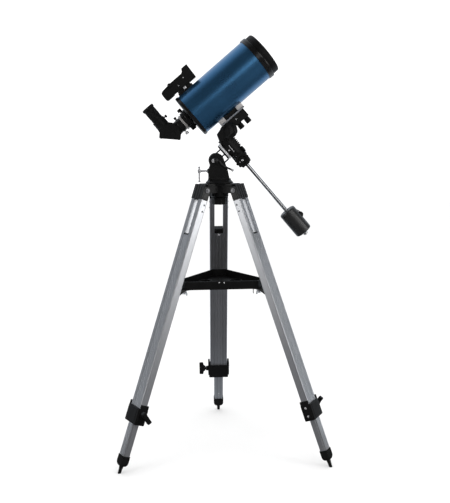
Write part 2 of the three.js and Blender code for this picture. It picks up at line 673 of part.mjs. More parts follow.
// A right-angle prism-shaped box with a slanting mirror cover, a nose and an eyepiece holder.
function starDiagonal() {
  const z = TUBE_AXIS;
  const side = outline([
    [EYEPIECE_X - 27.8, z + 11.6], [EYEPIECE_X + 11.6, z - 27.8], [EYEPIECE_X + 21.5, z - 17.9],
    [EYEPIECE_X + 25, z - 17.9], [EYEPIECE_X + 25, z + 18.2], [EYEPIECE_X + 17.4, z + 26],
    [EYEPIECE_X - 17.4, z + 26], [EYEPIECE_X - 17.9, z + 21.5],
  ]);
  const box = plateXZ(side, -18.5, 18.5);
  const shoulder = rodX(17.5, EYEPIECE_X + 20, BACK_END - GAP, 0, z, LARGE);
  const nose = rodX(15.2, EYEPIECE_X + 20, 14, 0, z, LARGE);
  const holder = rodZ(17.4, z + 20, z + 48.9, EYEPIECE_X, 0, LARGE);
  const screw = rodX(4, EYEPIECE_X + 16, EYEPIECE_X + 26.5, 0, z + 43, SMALL);
  const light = rodX(13, EYEPIECE_X, 15, 0, z, MEDIUM);
  const well = rodZ(14.2, z, z + 60, EYEPIECE_X, 0, MEDIUM);
  return cut(join(box, shoulder, nose, holder, screw), light, well, mirrorPlate(GAP));
}

// The mirror at 45 degrees where the two light paths meet, larger all round by the given room.
function mirrorPlate(room) {
  const [thick, wide, long] = [1.5 + room, 12.5 + room, 17 + room];
  const plate = block(-thick, thick, -wide, wide, -long, long).rotateY(THREE.MathUtils.degToRad(-45));
  return plate.translate(EYEPIECE_X - 1.2, 0, TUBE_AXIS - 1.2);
}

function eyepiece() {
  const z = TUBE_AXIS + 49;
  const profile = [
    [0, z - 22], [13.7, z - 22], [13.7, z + GAP], [14.2, z + GAP], [15, z + 2], [15, z + 33],
    [17, z + 35], [17, z + 41], [16, z + 42], [10.5, z + 42], [9, z + 40], [0, z + 40],
  ];
  return turnedZ(profile, MEDIUM + 4).translate(EYEPIECE_X, 0, 0);
}

function finderBase() {
  return cut(block(38, 81, -11, 11, 182, 196.4), tubeRoom());
}

// The finder: a body with a sight channel along its top and an upright frame at its front.
function redDotFinder() {
  const side = outline([
    [5, 199], [11, 196.8], [27, 196.8], [30, 198.6], [79.5, 198.6], [80.5, 196.8], [101, 196.8],
    [102.6, 237], [84.8, 237], [76, 227.6], [34, 227.6], [5.5, 223.4],
  ]);
  const body = plateXZ(side, -14, 14);
  const channel = block(24, 110, -10, 10, 212, 231);
  const openTops = [[24, 79.5], [88, 110]].map(([x0, x1]) => block(x0, x1, -10, 10, 212, 240));
  return cut(body, channel, ...openTops);
}

function addMount(parent, head) {
  part(parent, 'azimuth_base', 'castBlack', azimuthBase());
  part(parent, 'latitude_bolt', 'chrome', latitudeBolt());
  part(parent, 'latitude_lock_lever', 'chrome', latitudeLockLever());
  part(head, 'polar_housing', 'castBlack', polarHousing());
  part(head, 'polar_axle', 'chrome', polarAxle());
  part(head, 'ra_setting_circle', 'aluminium', settingCircle());
  part(head, 'dec_housing', 'castBlack', decHousing());
  part(head, 'dec_axle', 'chrome', decAxle());
  part(head, 'dec_lock_knob', 'plasticBlack', decLockKnob());
  part(head, 'ra_slow_motion_knob', 'plasticBlack', slowMotionKnob());
  part(head, 'dec_head', 'castBlack', decHead());
  part(head, 'dovetail_saddle', 'castBlack', dovetailSaddle());
  part(head, 'saddle_knob_rear', 'plasticBlack', saddleKnob(SADDLE_KNOBS[0]));
  part(head, 'saddle_knob_front', 'plasticBlack', saddleKnob(SADDLE_KNOBS[1]));
  part(head, 'counterweight_shaft', 'chrome', counterweightShaft());
  part(head, 'counterweight', 'castBlack', counterweight());
  part(head, 'counterweight_knob', 'plasticBlack', counterweightKnob());
  part(head, 'shaft_end_stop', 'plasticBlack', shaftEndStop());
}

function addTelescope(head) {
  part(head, 'dovetail_rail', 'aluminium', dovetailRail());
  part(head, 'main_tube', 'tubeBlue', mainTube());
  part(head, 'rear_cell', 'castBlack', rearCell());
  part(head, 'front_ring', 'castBlack', frontRing());
  part(head, 'corrector_lens', 'glass', correctorLens());
  part(head, 'primary_mirror', 'mirror', primaryMirror());
  part(head, 'baffle_tube', 'plasticBlack', baffleTube());
  part(head, 'dust_cap', 'plasticBlack', dustCap());
  part(head, 'focus_knob', 'plasticBlack', focusKnob());
  part(head, 'visual_back', 'castBlack', visualBack());
  part(head, 'star_diagonal', 'plasticBlack', starDiagonal());
  part(head, 'diagonal_mirror', 'mirror', mirrorPlate(0));
  part(head, 'eyepiece', 'plasticBlack', eyepiece());
  part(head, 'finder_base', 'castBlack', finderBase());
  part(head, 'red_dot_finder', 'plasticBlack', redDotFinder());
}

// ---------- assembly ----------

const telescope = new THREE.Group();
const equatorialHead = new THREE.Group();
equatorialHead.position.copy(PIVOT);
equatorialHead.rotation.y = -LATITUDE;
addTripod(telescope);
addMount(telescope, equatorialHead);
addTelescope(equatorialHead);
telescope.add(equatorialHead);

// The origin goes under the middle of the box.
telescope.updateMatrixWorld(true);
const size = new THREE.Box3().setFromObject(telescope, true);
telescope.position.set(-(size.min.x + size.max.x) / 2, -(size.min.y + size.max.y) / 2, -size.min.z);

export default telescope;
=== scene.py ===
"""Small mirror-lens telescope on an equatorial mount and an aluminium tripod.

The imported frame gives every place. Each piece is drawn in millimetres, in the frame of the
leg, mount or ground that it belongs to, and stands for the CAD node with the same job.
"""

import json
import math

import bmesh
import bpy
from mathutils import Matrix, Vector


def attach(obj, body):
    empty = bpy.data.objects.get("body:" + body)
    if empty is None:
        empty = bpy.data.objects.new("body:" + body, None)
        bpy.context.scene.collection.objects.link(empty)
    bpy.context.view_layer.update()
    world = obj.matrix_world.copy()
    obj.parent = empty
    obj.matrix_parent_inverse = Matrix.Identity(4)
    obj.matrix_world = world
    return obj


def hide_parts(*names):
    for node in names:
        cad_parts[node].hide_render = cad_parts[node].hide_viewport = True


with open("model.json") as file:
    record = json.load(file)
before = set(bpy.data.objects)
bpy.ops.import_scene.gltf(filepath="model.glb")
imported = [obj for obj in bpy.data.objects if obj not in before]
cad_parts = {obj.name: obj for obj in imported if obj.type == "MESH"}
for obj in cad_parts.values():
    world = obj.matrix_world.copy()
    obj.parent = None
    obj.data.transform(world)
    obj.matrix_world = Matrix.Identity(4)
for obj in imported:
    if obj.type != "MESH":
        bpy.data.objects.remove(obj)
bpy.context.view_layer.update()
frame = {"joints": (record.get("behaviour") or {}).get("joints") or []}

MM = 0.001
JOINTS = {joint["name"]: joint for joint in frame["joints"]}

# ---------- driving dimensions, in millimetres ----------

ROUND = 96  # sides of a large round piece
MIDDLE = 48
FINE = 24
EDGE = 0.8  # usual rounding of a cast or moulded edge

LEG_HALF = 25.2  # half the width over a leg's pair of rails
RAIL_WIDTH = 13.4
RAIL_HALF_DEPTH = 10
RAIL_TOP = 25.6  # distances along a leg are from its hinge
RAIL_END = 600
PLUG_TOP = 118.6
PLUG_BOTTOM = 123
LOWER_END = 722
KNOB_REST = 40  # how far the clamp knobs' grips stand turned from square
CLAMP_SCREW = 598.5
HEAD_TOP = 729
HINGE_RADIUS = 53.3  # of the legs' hinges from the tripod's axis
HINGE_HEIGHT = 712
LEG_TILT = 20.18  # degrees from the vertical
LEG_ANGLES = (90, 210, 330)  # directions of the legs, in degrees
TRAY_BOTTOM = 457
TRAY_TOP = 479

# The head's frame has X up the polar axis and Z up the declination axis, from the latitude pivot.
POLAR_RISE = 3  # Z of the polar axis
DEC_X = 55  # X of the declination axis
SLOW_KNOB = (-6, -23)  # Y and Z
DEC_LOCK = (52, -43)  # X and Z
SADDLE = (75.6, 140.5, 34, 56.9)  # from and to in X, then in Z
SADDLE_KNOBS = (108, 131.5)  # X of each
SHAFT = (-303, -46, 5)  # from and to in Z, and the radius
WEIGHT = (-298, -223, 23)  # from and to in Z, and the radius
WEIGHT_SCREW = -256
TUBE_AXIS = 129.3  # Z
TUBE_RADIUS = 58.7
TUBE = (30.8, 248.2)  # from and to in X
FOCUS_KNOB = (-20, TUBE_AXIS - 24)  # Y and Z
EYEPIECE_X = -46.5
EYEPIECE_FOOT = TUBE_AXIS + 49
SIGHT_LINE = 221.5  # Z of the finder's line of sight

# ---------- frames of the parts ----------


def joint_point(name):
    return Vector(JOINTS[name]["pos_m"])


def joint_axis(name):
    return Vector(JOINTS[name]["axis"]).normalized()


def frame_at(origin, y_axis, z_axis):
    x_axis = y_axis.cross(z_axis)
    matrix = Matrix((x_axis, y_axis, z_axis)).transposed().to_4x4()
    matrix.translation = origin
    return matrix


GROUND = Matrix.Translation((0, joint_point("azimuth_turn").y, 0))
HEAD = frame_at(joint_point("latitude_tilt"), Vector((0, 1, 0)), joint_axis("counterweight_slide"))
LEGS = {n: frame_at(joint_point(f"leg_{n}_fold"), joint_axis(f"leg_{n}_clamp_knob_turn"),
    -joint_axis(f"leg_{n}_extend")) for n in (1, 2, 3)}

# ---------- shapes, as bmeshes in millimetres ----------


def moved(shape, x=0, y=0, z=0):
    bmesh.ops.translate(shape, vec=(x, y, z), verts=shape.verts)
    return shape


def turned_by(shape, degrees, axis):
    bmesh.ops.transform(shape, matrix=Matrix.Rotation(math.radians(degrees), 4, axis), verts=shape.verts)
    return shape


def mesh_of(shape, name):
    """A mesh of the shape, which is freed."""
    mesh = bpy.data.meshes.new(name)
    shape.to_mesh(mesh)
    shape.free()
    return mesh


def in_scene(name, data):
    made = bpy.data.objects.new(name, data)
    bpy.context.scene.collection.objects.link(made)
    return made


def joined(*shapes):
    whole = bmesh.new()
    for shape in shapes:
        mesh = mesh_of(shape, "joining")
        whole.from_mesh(mesh)
        bpy.data.meshes.remove(mesh)
    return whole


def rounded(shape, width, segments=2, angle=28):
    """The same shape with every edge sharper than the angle bevelled."""
    shape.normal_update()
    limit = math.radians(angle)
    sharp = [edge for edge in shape.edges if len(edge.link_faces) == 2 and edge.calc_face_angle() > limit]
    bmesh.ops.bevel(shape, geom=sharp, offset=width, segments=segments, profile=0.5, affect="EDGES",
        clamp_overlap=True)
    return shape


def combined(operation, shape, *others):
    """One closed shape from several, by a boolean operation."""
    objects = [in_scene("combining", mesh_of(one, "combining")) for one in (shape, *others)]
    for other in objects[1:]:
        modifier = objects[0].modifiers.new("combine", "BOOLEAN")
        modifier.object = other
        modifier.operation = operation
        modifier.solver = "MANIFOLD"
    depsgraph = bpy.context.evaluated_depsgraph_get()
    result = bpy.data.meshes.new_from_object(objects[0].evaluated_get(depsgraph))
    left = bmesh.new()
    left.from_mesh(result)
    bpy.data.meshes.remove(result)
    for made in objects:
        mesh = made.data
        bpy.data.objects.remove(made)
        bpy.data.meshes.remove(mesh)
    return left


def united(*shapes):
    return combined("UNION", *shapes)


def without(shape, *tools):
    """The shape with the tools cut out of it."""
    return combined("DIFFERENCE", shape, *tools)


def prism(outline, z0, z1, edge=0.0):
    """A straight piece with its outline in the XY plane, from z0 to z1."""
    shape = bmesh.new()
    bottom = [shape.verts.new((x, y, z0)) for x, y in outline]
    face = shape.faces.new(bottom)
    raised = bmesh.ops.extrude_face_region(shape, geom=[face])["geom"]
    top = [element for element in raised if isinstance(element, bmesh.types.BMVert)]
    bmesh.ops.translate(shape, vec=(0, 0, z1 - z0), verts=top)
    bmesh.ops.recalc_face_normals(shape, faces=shape.faces)
    return rounded(shape, edge) if edge else shape


def plate(outline, y0, y1, edge=0.0):
    """A plate with its outline in the XZ plane, from y0 to y1."""
    return turned_by(prism(outline, -y1, -y0, edge), 90, "X")


def box(x0, x1, y0, y1, z0, z1, edge=EDGE):
    return prism([(x0, y0), (x1, y0), (x1, y1), (x0, y1)], z0, z1, edge)


def turned(profile, sides=MIDDLE):
    """A lathe piece about Z. The profile lists (radius, height) and closes on itself or on the axis."""
    shape = bmesh.new()
    rings = []
    for radius, height in profile:
        count = 1 if radius == 0 else sides
        angles = [math.tau * k / sides for k in range(count)]
        rings.append([shape.verts.new((radius * math.cos(a), radius * math.sin(a), height))
            for a in angles])
    if profile[0][0] > 0:
        rings.append(rings[0])
    for low, high in zip(rings, rings[1:]):
        for k in range(sides):
            after = (k + 1) % sides
            corners = [low[k % len(low)], low[after % len(low)], high[after % len(high)],
                high[k % len(high)]]
            distinct = list(dict.fromkeys(corners))
            if len(distinct) > 2:
                shape.faces.new(distinct)
    bmesh.ops.recalc_face_normals(shape, faces=shape.faces)
    return shape


def along_x(shape, y=0, z=0):
    return moved(turned_by(shape, 90, "Y"), 0, y, z)


def along_y(shape, x=0, z=0):
    """A piece drawn about Z laid along Y, its +Z end towards -Y."""
    return moved(turned_by(shape, 90, "X"), x, 0, z)


def pin(radius, z0, z1, edge=0.5, sides=MIDDLE):
    """A round bar about Z with chamfered ends."""
    half = edge * 0.35
    outside = [(radius - edge, z0), (radius - half, z0 + half), (radius, z0 + edge), (radius, z1 - edge),
        (radius - half, z1 - half), (radius - edge, z1)]
    return turned([(0, z0), *outside, (0, z1)], sides)


def hexagon(radius, z0, z1, edge=0.4):
    return prism([around(radius, 60 * k) for k in range(6)], z0, z1, edge)


def screw_head(radius, z0, height):
    """A domed head with a cross slot."""
    profile = [(0, z0 + height)]
    profile += [(radius * math.sin(math.radians(a)), z0 + height * math.cos(math.radians(a)))
        for a in range(15, 91, 15)]
    profile += [(radius, z0 - height), (0, z0 - height)]
    length, width = radius * 0.55, radius * 0.13
    slots = [box(-x, x, -y, y, z0 + height * 0.45, z0 + height * 2, 0)
        for x, y in ((length, width), (width, length))]
    return without(turned(profile, FINE), *slots)


def around(radius, degrees):
    """The point at a radius and an angle from the origin."""
    return radius * math.cos(math.radians(degrees)), radius * math.sin(math.radians(degrees))


def arc(x, y, radius, start, end, steps=12):
    """Points of an arc, start and end in degrees."""
    points = [around(radius, start + (end - start) * k / steps) for k in range(steps + 1)]
    return [(x + px, y + py) for px, py in points]


def lobed(radius, depth, lobes, steps=10):
    """A round outline with lobes, or with fine ribs when there are many."""
    points = []
    for k in range(lobes * steps):
        dip = 0.5 - 0.5 * math.cos(math.tau * k / steps)
        points.append(around(radius - depth * dip, 360 * k / (lobes * steps)))
    return points


def swept(points, radius, sides=16, steps=8):
    """A round bar along a smooth curve through the points."""
    ends = [points[0] * 2 - points[1], *points, points[-1] * 2 - points[-2]]
    path = []
    for a, b, c, d in zip(ends, ends[1:], ends[2:], ends[3:]):
        for k in range(steps):
            t = k / steps
            second = (2 * a - 5 * b + 4 * c - d) * t * t
            third = (3 * b - a - 3 * c + d) * t**3
            path.append(0.5 * ((2 * b) + (c - a) * t + second + third))
    path.append(points[-1])
    shape = bmesh.new()
    side = (path[1] - path[0]).orthogonal().normalized()
    rings = []
    for k, point in enumerate(path):
        ahead = (path[min(k + 1, len(path) - 1)] - path[max(k - 1, 0)]).normalized()
        side = (side - ahead * side.dot(ahead)).normalized()
        other = ahead.cross(side)
        angles = [math.tau * j / sides for j in range(sides)]
        rings.append([shape.verts.new(point + (side * math.cos(a) + other * math.sin(a)) * radius)
            for a in angles])
    for low, high in zip(rings, rings[1:]):
        for j in range(sides):
            after = (j + 1) % sides
            shape.faces.new((low[j], low[after], high[after], high[j]))
    shape.faces.new(rings[0][::-1])
    shape.faces.new(rings[-1])
    return shape


def ball(radius, x, y, z):
    shape = bmesh.new()
    bmesh.ops.create_uvsphere(shape, u_segments=FINE, v_segments=FINE // 2, radius=radius)
    return moved(shape, x, y, z)


def mirrored_y(shape):
    bmesh.ops.transform(shape, matrix=Matrix.Scale(-1, 4, (0, 1, 0)), verts=shape.verts)
    bmesh.ops.reverse_faces(shape, faces=shape.faces)
    return shape


# ---------- materials ----------


def new_node(tree, kind, inputs=None, **settings):
    """A shader node with its settings, each input given as a value or as another node's output."""
    node = tree.nodes.new("ShaderNode" + kind)
    for name, value in settings.items():
        setattr(node, name, value)
    fed(tree, node, inputs or {})
    return node


def fed(tree, node, inputs):
    """Sets a node's inputs from a table of values and outputs."""
    for socket, value in inputs.items():
        if isinstance(value, bpy.types.NodeSocket):
            tree.links.new(value, node.inputs[socket])
        else:
            node.inputs[socket].default_value = value


def maths(tree, operation, *values):
    return new_node(tree, "Math", dict(enumerate(values)), operation=operation).outputs["Value"]


def mixed(tree, factor, first, second):
    """A colour mix of two colours, or of a node's output and a colour, by a factor output."""
    first_socket, second_socket = 6, 7  # the colour inputs of the node, which share their names
    inputs = {"Factor": factor}
    for socket, value in ((first_socket, first), (second_socket, second)):
        inputs[socket] = (*value, 1) if isinstance(value, tuple) else value
    return new_node(tree, "Mix", inputs, data_type="RGBA").outputs[2]


def spread(tree, value, low, high, start=0.3, end=0.7):
    """The value from start to end, mapped to low to high."""
    inputs = {"Value": value, "From Min": start, "From Max": end, "To Min": low, "To Max": high}
    return new_node(tree, "MapRange", inputs).outputs["Result"]


def noise(tree, size, stretch=(1, 1, 1), detail=3.0):
    """Noise with features of about the given size in millimetres, stretched along the axes."""
    place = new_node(tree, "TexCoord").outputs["Object"]
    mapping = new_node(tree, "Mapping", {"Vector": place, "Scale": [1 / s for s in stretch]})
    inputs = {"Vector": mapping.outputs["Vector"], "Scale": 1 / (size * MM), "Detail": detail}
    return new_node(tree, "TexNoise", inputs).outputs["Fac"]


def worn_edges(tree, width):
    """Near 1 along the sharp outer edges of a piece, broken up by noise, and 0 elsewhere."""
    soft = new_node(tree, "Bevel", {"Radius": width * MM}, samples=4).outputs["Normal"]
    true = new_node(tree, "NewGeometry").outputs["Normal"]
    both = new_node(tree, "VectorMath", {0: soft, 1: true}, operation="DOT_PRODUCT")
    edge = spread(tree, both.outputs["Value"], 1.0, 0.0, 0.80, 0.97)
    return maths(tree, "MULTIPLY", edge, spread(tree, noise(tree, 2.5), 0.0, 1.0, 0.42, 0.62))


def bumped(tree, shader, heights):
    """Adds the (height output, depth in mm) pairs to the shader's normal, one after the other."""
    normal = {}
    for height, depth in heights:
        node = new_node(tree, "Bump", {"Strength": 1.0, "Distance": depth * MM, "Height": height, **normal})
        normal = {"Normal": node.outputs["Normal"]}
    fed(tree, shader, normal)


def new_material(name, metallic=0.0, coat=0.0, specular=0.5):
    made = bpy.data.materials.new(name)
    made.use_nodes = True
    tree = made.node_tree
    shader = tree.nodes["Principled BSDF"]
    fed(tree, shader, {"Metallic": metallic, "Coat Weight": coat, "Coat Roughness": 0.12,
        "Specular IOR Level": specular})
    return made, tree, shader


def black_finish(name, level, roughness, grain, depth, wear=0.0, specular=0.5, coat=0.0):
    """Black paint, plastic or rubber: a fine grain, uneven gloss and, on paint, rubbed edges."""
    made, tree, shader = new_material(name, 0.0, coat, specular)
    cloud = noise(tree, 28, detail=4)
    colour = mixed(tree, cloud, (level * 0.7,) * 3, (level * 1.35, level * 1.3, level * 1.3))
    if wear:
        colour = mixed(tree, worn_edges(tree, 0.6), colour, (wear, wear, wear * 1.04))
    gloss = spread(tree, cloud, roughness - 0.06, roughness + 0.08)
    fed(tree, shader, {"Base Color": colour, "Roughness": gloss})
    bumped(tree, shader, [(noise(tree, grain, detail=2), depth)])
    return made


def bright_finish(name, colour, roughness, streak, size=0.5, depth=0.004, metallic=1.0, aged=0.9,
        marked=0.35):
    """Bare or anodised metal with fine marks drawn out along the streak's longest axis."""
    made, tree, shader = new_material(name, metallic)
    lines = noise(tree, size, streak, 2)
    cloud = noise(tree, 45, detail=4)
    shade = mixed(tree, cloud, tuple(c * aged for c in colour), colour)
    shade = mixed(tree, spread(tree, lines, 0.0, marked), shade, tuple(c * 0.72 for c in colour))
    swing = 0.2 * marked
    gloss = spread(tree, lines, roughness - swing, roughness + swing)
    fed(tree, shader, {"Base Color": shade, "Roughness": gloss})
    bumped(tree, shader, [(lines, depth)])
    return made


def tube_paint():
    """Metallic blue paint: fine flakes under a thin clear coat."""
    made, tree, shader = new_material("tube_paint", 0.92, 0.45)
    flakes = noise(tree, 0.35, detail=1)
    cloud = noise(tree, 60, detail=3)
    colour = mixed(tree, cloud, (0.026, 0.130, 0.285), (0.038, 0.162, 0.335))
    colour = mixed(tree, spread(tree, flakes, 0.0, 0.35, 0.55, 0.75), colour, (0.10, 0.31, 0.49))
    gloss = spread(tree, cloud, 0.27, 0.32)
    fed(tree, shader, {"Coat Roughness": 0.3, "Base Color": colour, "Roughness": gloss})
    bumped(tree, shader, [(flakes, 0.002), (noise(tree, 1.8, detail=1), 0.006)])
    return made


def dial_finish():
    """A satin silver ring about X with engraved black graduations."""
    made, tree, shader = new_material("dial_silver", 0.5)
    place = new_node(tree, "TexCoord").outputs["Object"]
    split = new_node(tree, "SeparateXYZ", {"Vector": place})
    lifted = maths(tree, "SUBTRACT", split.outputs["Z"], POLAR_RISE * MM)
    angle = maths(tree, "ARCTAN2", split.outputs["Y"], lifted)
    lines = []
    for count, width in ((96, 0.80), (24, 0.93)):
        ripple = maths(tree, "COSINE", maths(tree, "MULTIPLY", angle, count))
        lines.append(spread(tree, ripple, 0.0, 1.0, width, width + 0.05))
    rings = noise(tree, 0.3, (1, 400, 400), 2)
    silver = mixed(tree, rings, (0.66, 0.66, 0.67), (0.84, 0.84, 0.85))
    colour = mixed(tree, maths(tree, "MAXIMUM", *lines), silver, (0.01, 0.01, 0.01))
    fed(tree, shader, {"Base Color": colour, "Roughness": spread(tree, rings, 0.28, 0.42)})
    bumped(tree, shader, [(rings, 0.004)])
    return made


def glass_finish(name, tint):
    """Coated glass: clear, with a faint coloured reflection."""
    made, tree, shader = new_material(name, 0.0, 0.4)
    cloud = noise(tree, 30)
    colour = mixed(tree, cloud, tint, tuple(min(1.0, c * 1.1) for c in tint))
    gloss = spread(tree, cloud, 0.02, 0.05)
    fed(tree, shader, {"Transmission Weight": 0.9, "IOR": 1.5, "Base Color": colour, "Roughness": gloss})
    return made


ALONG = 120  # how far marks on an extrusion are drawn out

MATERIALS = {
    "black_casting": black_finish("casting_black", 0.0025, 0.42, 1.3, 0.020, wear=0.015, specular=0.22),
    "gloss_black": black_finish("gloss_black", 0.003, 0.24, 2.2, 0.008, wear=0.02, specular=0.35, coat=0.1),
    "black_plastic": black_finish("plastic_black", 0.0025, 0.46, 0.45, 0.012, specular=0.18),
    "black_grip": black_finish("grip_black", 0.003, 0.62, 0.6, 0.03, specular=0.22),
    "black_rubber": black_finish("rubber_black", 0.003, 0.72, 0.8, 0.05, specular=0.18),
    "black_iron": black_finish("iron_black", 0.003, 0.38, 0.9, 0.014, wear=0.01, specular=0.9),
    "black_steel": black_finish("steel_black", 0.006, 0.36, 0.8, 0.012, wear=0.05, specular=0.45),
    "grey_steel": bright_finish("grey_steel", (0.20, 0.20, 0.21), 0.38, (1, 1, 1), 2.0, 0.003, 0.6),
    "leg_metal": bright_finish("leg_metal", (0.62, 0.63, 0.65), 0.38, (1, 1, ALONG), marked=0.22),
    "bracket_black": black_finish("bracket_black", 0.003, 0.40, 1.3, 0.020, wear=0.02, specular=0.4),
    "bright_metal": bright_finish(
        "bright_steel", (0.72, 0.72, 0.73), 0.27, (1, 1, 60), 1.5, 0.0003, 0.8, marked=0.08),
    "polished_steel": bright_finish(
        "polished_steel", (0.74, 0.75, 0.76), 0.15, (1, 1, 400), 3, 0.0001, marked=0.05),
    "silver_ring": bright_finish(
        "satin_silver", (0.58, 0.56, 0.55), 0.34, (40, 1, 1), 0.4, 0.002, 0.7, marked=0.2),
    "dial": dial_finish(),
    "tube": tube_paint(),
    "lens": glass_finish("lens_glass", (0.80, 0.93, 0.86)),
    "finder_glass": glass_finish("finder_glass", (0.95, 0.62, 0.55)),
    "mirror": bright_finish(
        "mirror_silver", (0.92, 0.93, 0.94), 0.07, (1, 1, 1), 20, 0.0005, aged=0.97, marked=0.05),
}


def piece(name, shape, place, material, body, stands_for=(), smooth=35):
    """A finished piece: the shape in metres in its own frame, riding on its CAD body."""
    made = in_scene(name, mesh_of(shape, name))
    made.data.transform(Matrix.Scale(MM, 4))
    made.data.shade_smooth()
    made.data.set_sharp_from_angle(angle=math.radians(smooth))
    made.data.materials.append(MATERIALS[material])
    made.matrix_world = place
    normals = made.modifiers.new("normals", "WEIGHTED_NORMAL")
    normals.keep_sharp = True
    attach(made, body)
    if stands_for:
        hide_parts(*stands_for)


def add_all(place, rows):
    """Pieces that share a frame: each row is a name, shape, material, body and the CAD nodes stood for."""
    for name, shape, material, body, *stands_for in rows:
        piece(name, shape, place, material, body, stands_for)


# ---------- camera, floor and light, in metres ----------


def make_camera():
    """The viewing point: in front, a little below the tube and looking slightly down."""
    yaw, pitch, roll = 0.0452, 0.142, -0.0124
    ahead = Vector((math.sin(yaw) * math.cos(pitch), math.cos(yaw) * math.cos(pitch), -math.sin(pitch)))
    right = Vector((math.cos(yaw), -math.sin(yaw), 0))
    up = right.cross(ahead)
    level_right = right * math.cos(roll) + up * math.sin(roll)
    level_up = up * math.cos(roll) - right * math.sin(roll)
    data = bpy.data.cameras.new("camera")
    data.sensor_width = 36
    data.lens = 58.1525
    camera = in_scene("camera", data)
    camera.matrix_world = Matrix((level_right, level_up, -ahead)).transposed().to_4x4()
    camera.location = (-0.0847, -2.2137, 0.8535)
    bpy.context.scene.camera = camera


def make_floor():
    """A pale floor, which the object's own reflections see dark in front and pale behind."""
    made, tree, shader = new_material("pale_floor", 0.0, 0.0, 0.0)
    pale = mixed(tree, noise(tree, 400, detail=2), (0.80, 0.80, 0.80), (0.84, 0.84, 0.84))
    place = new_node(tree, "TexCoord").outputs["Object"]
    depth = new_node(tree, "SeparateXYZ", {"Vector": place}).outputs["Y"]
    behind = spread(tree, depth, 0.0, 1.0, 0.0, 0.6)
    reflected = mixed(tree, behind, (0.075, 0.075, 0.08), (0.55, 0.60, 0.65))
    seen = new_node(tree, "LightPath").outputs["Is Glossy Ray"]
    fed(tree, shader, {"Base Color": mixed(tree, seen, pale, reflected), "Roughness": 0.9})
    radius, thickness = 9000, 20
    shape = turned([(0, 0), (radius, 0), (radius, -thickness), (0, -thickness)], ROUND)
    floor = in_scene("floor", mesh_of(shape, "floor"))
    floor.data.transform(Matrix.Scale(MM, 4))
    floor.data.materials.append(made)


def softbox(name, power, wide, tall, place):
    """A soft light of the given size, aimed at the middle of the object."""
    data = bpy.data.lights.new(name, "AREA")
    data.shape = "RECTANGLE"
    data.size = wide
    data.size_y = tall
    data.energy = power
    lamp = in_scene(name, data)
    lamp.location = place
    lamp.rotation_mode = "QUATERNION"
    lamp.rotation_quaternion = (Vector((0, 0, 0.7)) - Vector(place)).to_track_quat("-Z", "Y")


def make_light():
    """A white studio: an even white surround, with a room bright above and behind for the reflections."""
    bpy.context.scene.view_settings.view_transform = "Standard"
    world = bpy.data.worlds.new("studio")
    bpy.context.scene.world = world
    world.use_nodes = True
    tree = world.node_tree
    surround = tree.nodes["Background"]
    fed(tree, surround, {"Color": (1, 1, 1, 1), "Strength": 1.25})
    place = new_node(tree, "TexCoord").outputs["Generated"]
    towards = new_node(tree, "VectorMath", {0: place, 1: (0, 0.7, 0.7)}, operation="DOT_PRODUCT")
    strength = spread(tree, towards.outputs["Value"], 0.02, 1.0, 0.28, 0.85)
    room = new_node(tree, "Background", {"Color": (0.86, 0.92, 1, 1), "Strength": strength})
    seen = new_node(tree, "LightPath").outputs["Is Glossy Ray"]
    choice = new_node(tree, "MixShader", {0: seen, 1: surround.outputs[0], 2: room.outputs[0]})
    fed(tree, tree.nodes["World Output"], {"Surface": choice.outputs[0]})
    softbox("front", 14, 2.0, 1.3, (1.0, -3.0, 1.75))
    softbox("left", 15, 1.1, 1.5, (-2.4, -1.4, 0.9))
    softbox("right", 20, 1.1, 1.5, (2.4, -1.4, 0.9))


# ---------- tripod ----------


def rail_shape(side):
    """One of a leg's two rails: an outer rounded side, fine grooves and an inner channel."""
    outer, inner = LEG_HALF, LEG_HALF - RAIL_WIDTH
    deep, channel, floor = RAIL_HALF_DEPTH, 5.3, LEG_HALF - RAIL_WIDTH + 2.2
    half = [(0, outer)]
    half += [(x, y) for x, y in arc(deep - 2.4, outer - 2.4, 2.4, 90, 0, 5)]
    for y in (outer - 4.2, inner + 3.2):
        half += [(deep, y + 0.9), (deep - 2, y + 0.5), (deep - 2, y - 0.5), (deep, y - 0.9)]
    half += [(deep, inner), (channel, inner), (channel, floor), (0, floor)]
    outline = half + [(-x, y) for x, y in half[-2:0:-1]]
    return rounded(prism([(x, side * y) for x, y in outline], -RAIL_END, -RAIL_TOP), 0.25, 1, 60)


def bracket_shape():
    """The head of a leg: two round-ended ears, a floor that holds the rails and an outer wall."""
    ear = [(-10, -25.3), (10, -25.3), (10, 0), *arc(0, 0, 10, 0, 180, 14), (-10, 0)]
    ears = [plate(ear, y0, y1, 0.9) for y0, y1 in ((-LEG_HALF, -18.8), (18.8, LEG_HALF))]
    panel = [(-6.5, -22), (6.5, -22), (6.5, -9), (-6.5, -9)]
    panels = [plate(panel, y0, y1, 0.5) for y0, y1 in ((-LEG_HALF - 0.8, -24), (24, LEG_HALF + 0.8))]
    floor = box(-10, 10, -LEG_HALF, LEG_HALF, -25.3, -12)
    wall = box(8.8, 11.6, -LEG_HALF, LEG_HALF, -25.3, 14, 1.0)
    ribs = [box(10, 12.6, y - 1.2, y + 1.2, -24, 11, 0.6) for y in (-12, 0, 12)]
    return united(*ears, *panels, floor, wall, *ribs)


def pivot_bolt():
    """The bolt through a leg's ears, with washers, a hexagon head and a nut."""
    washers = [pin(6.0, y - 0.8, y + 0.8, 0.4) for y in (-27, 27)]
    head, nut, bolt = hexagon(4.6, 27.2, 30.4), hexagon(4.6, -30.4, -27.2), pin(3, -33, 33, 0.5, FINE)
    return along_y(joined(*washers, head, nut, bolt))


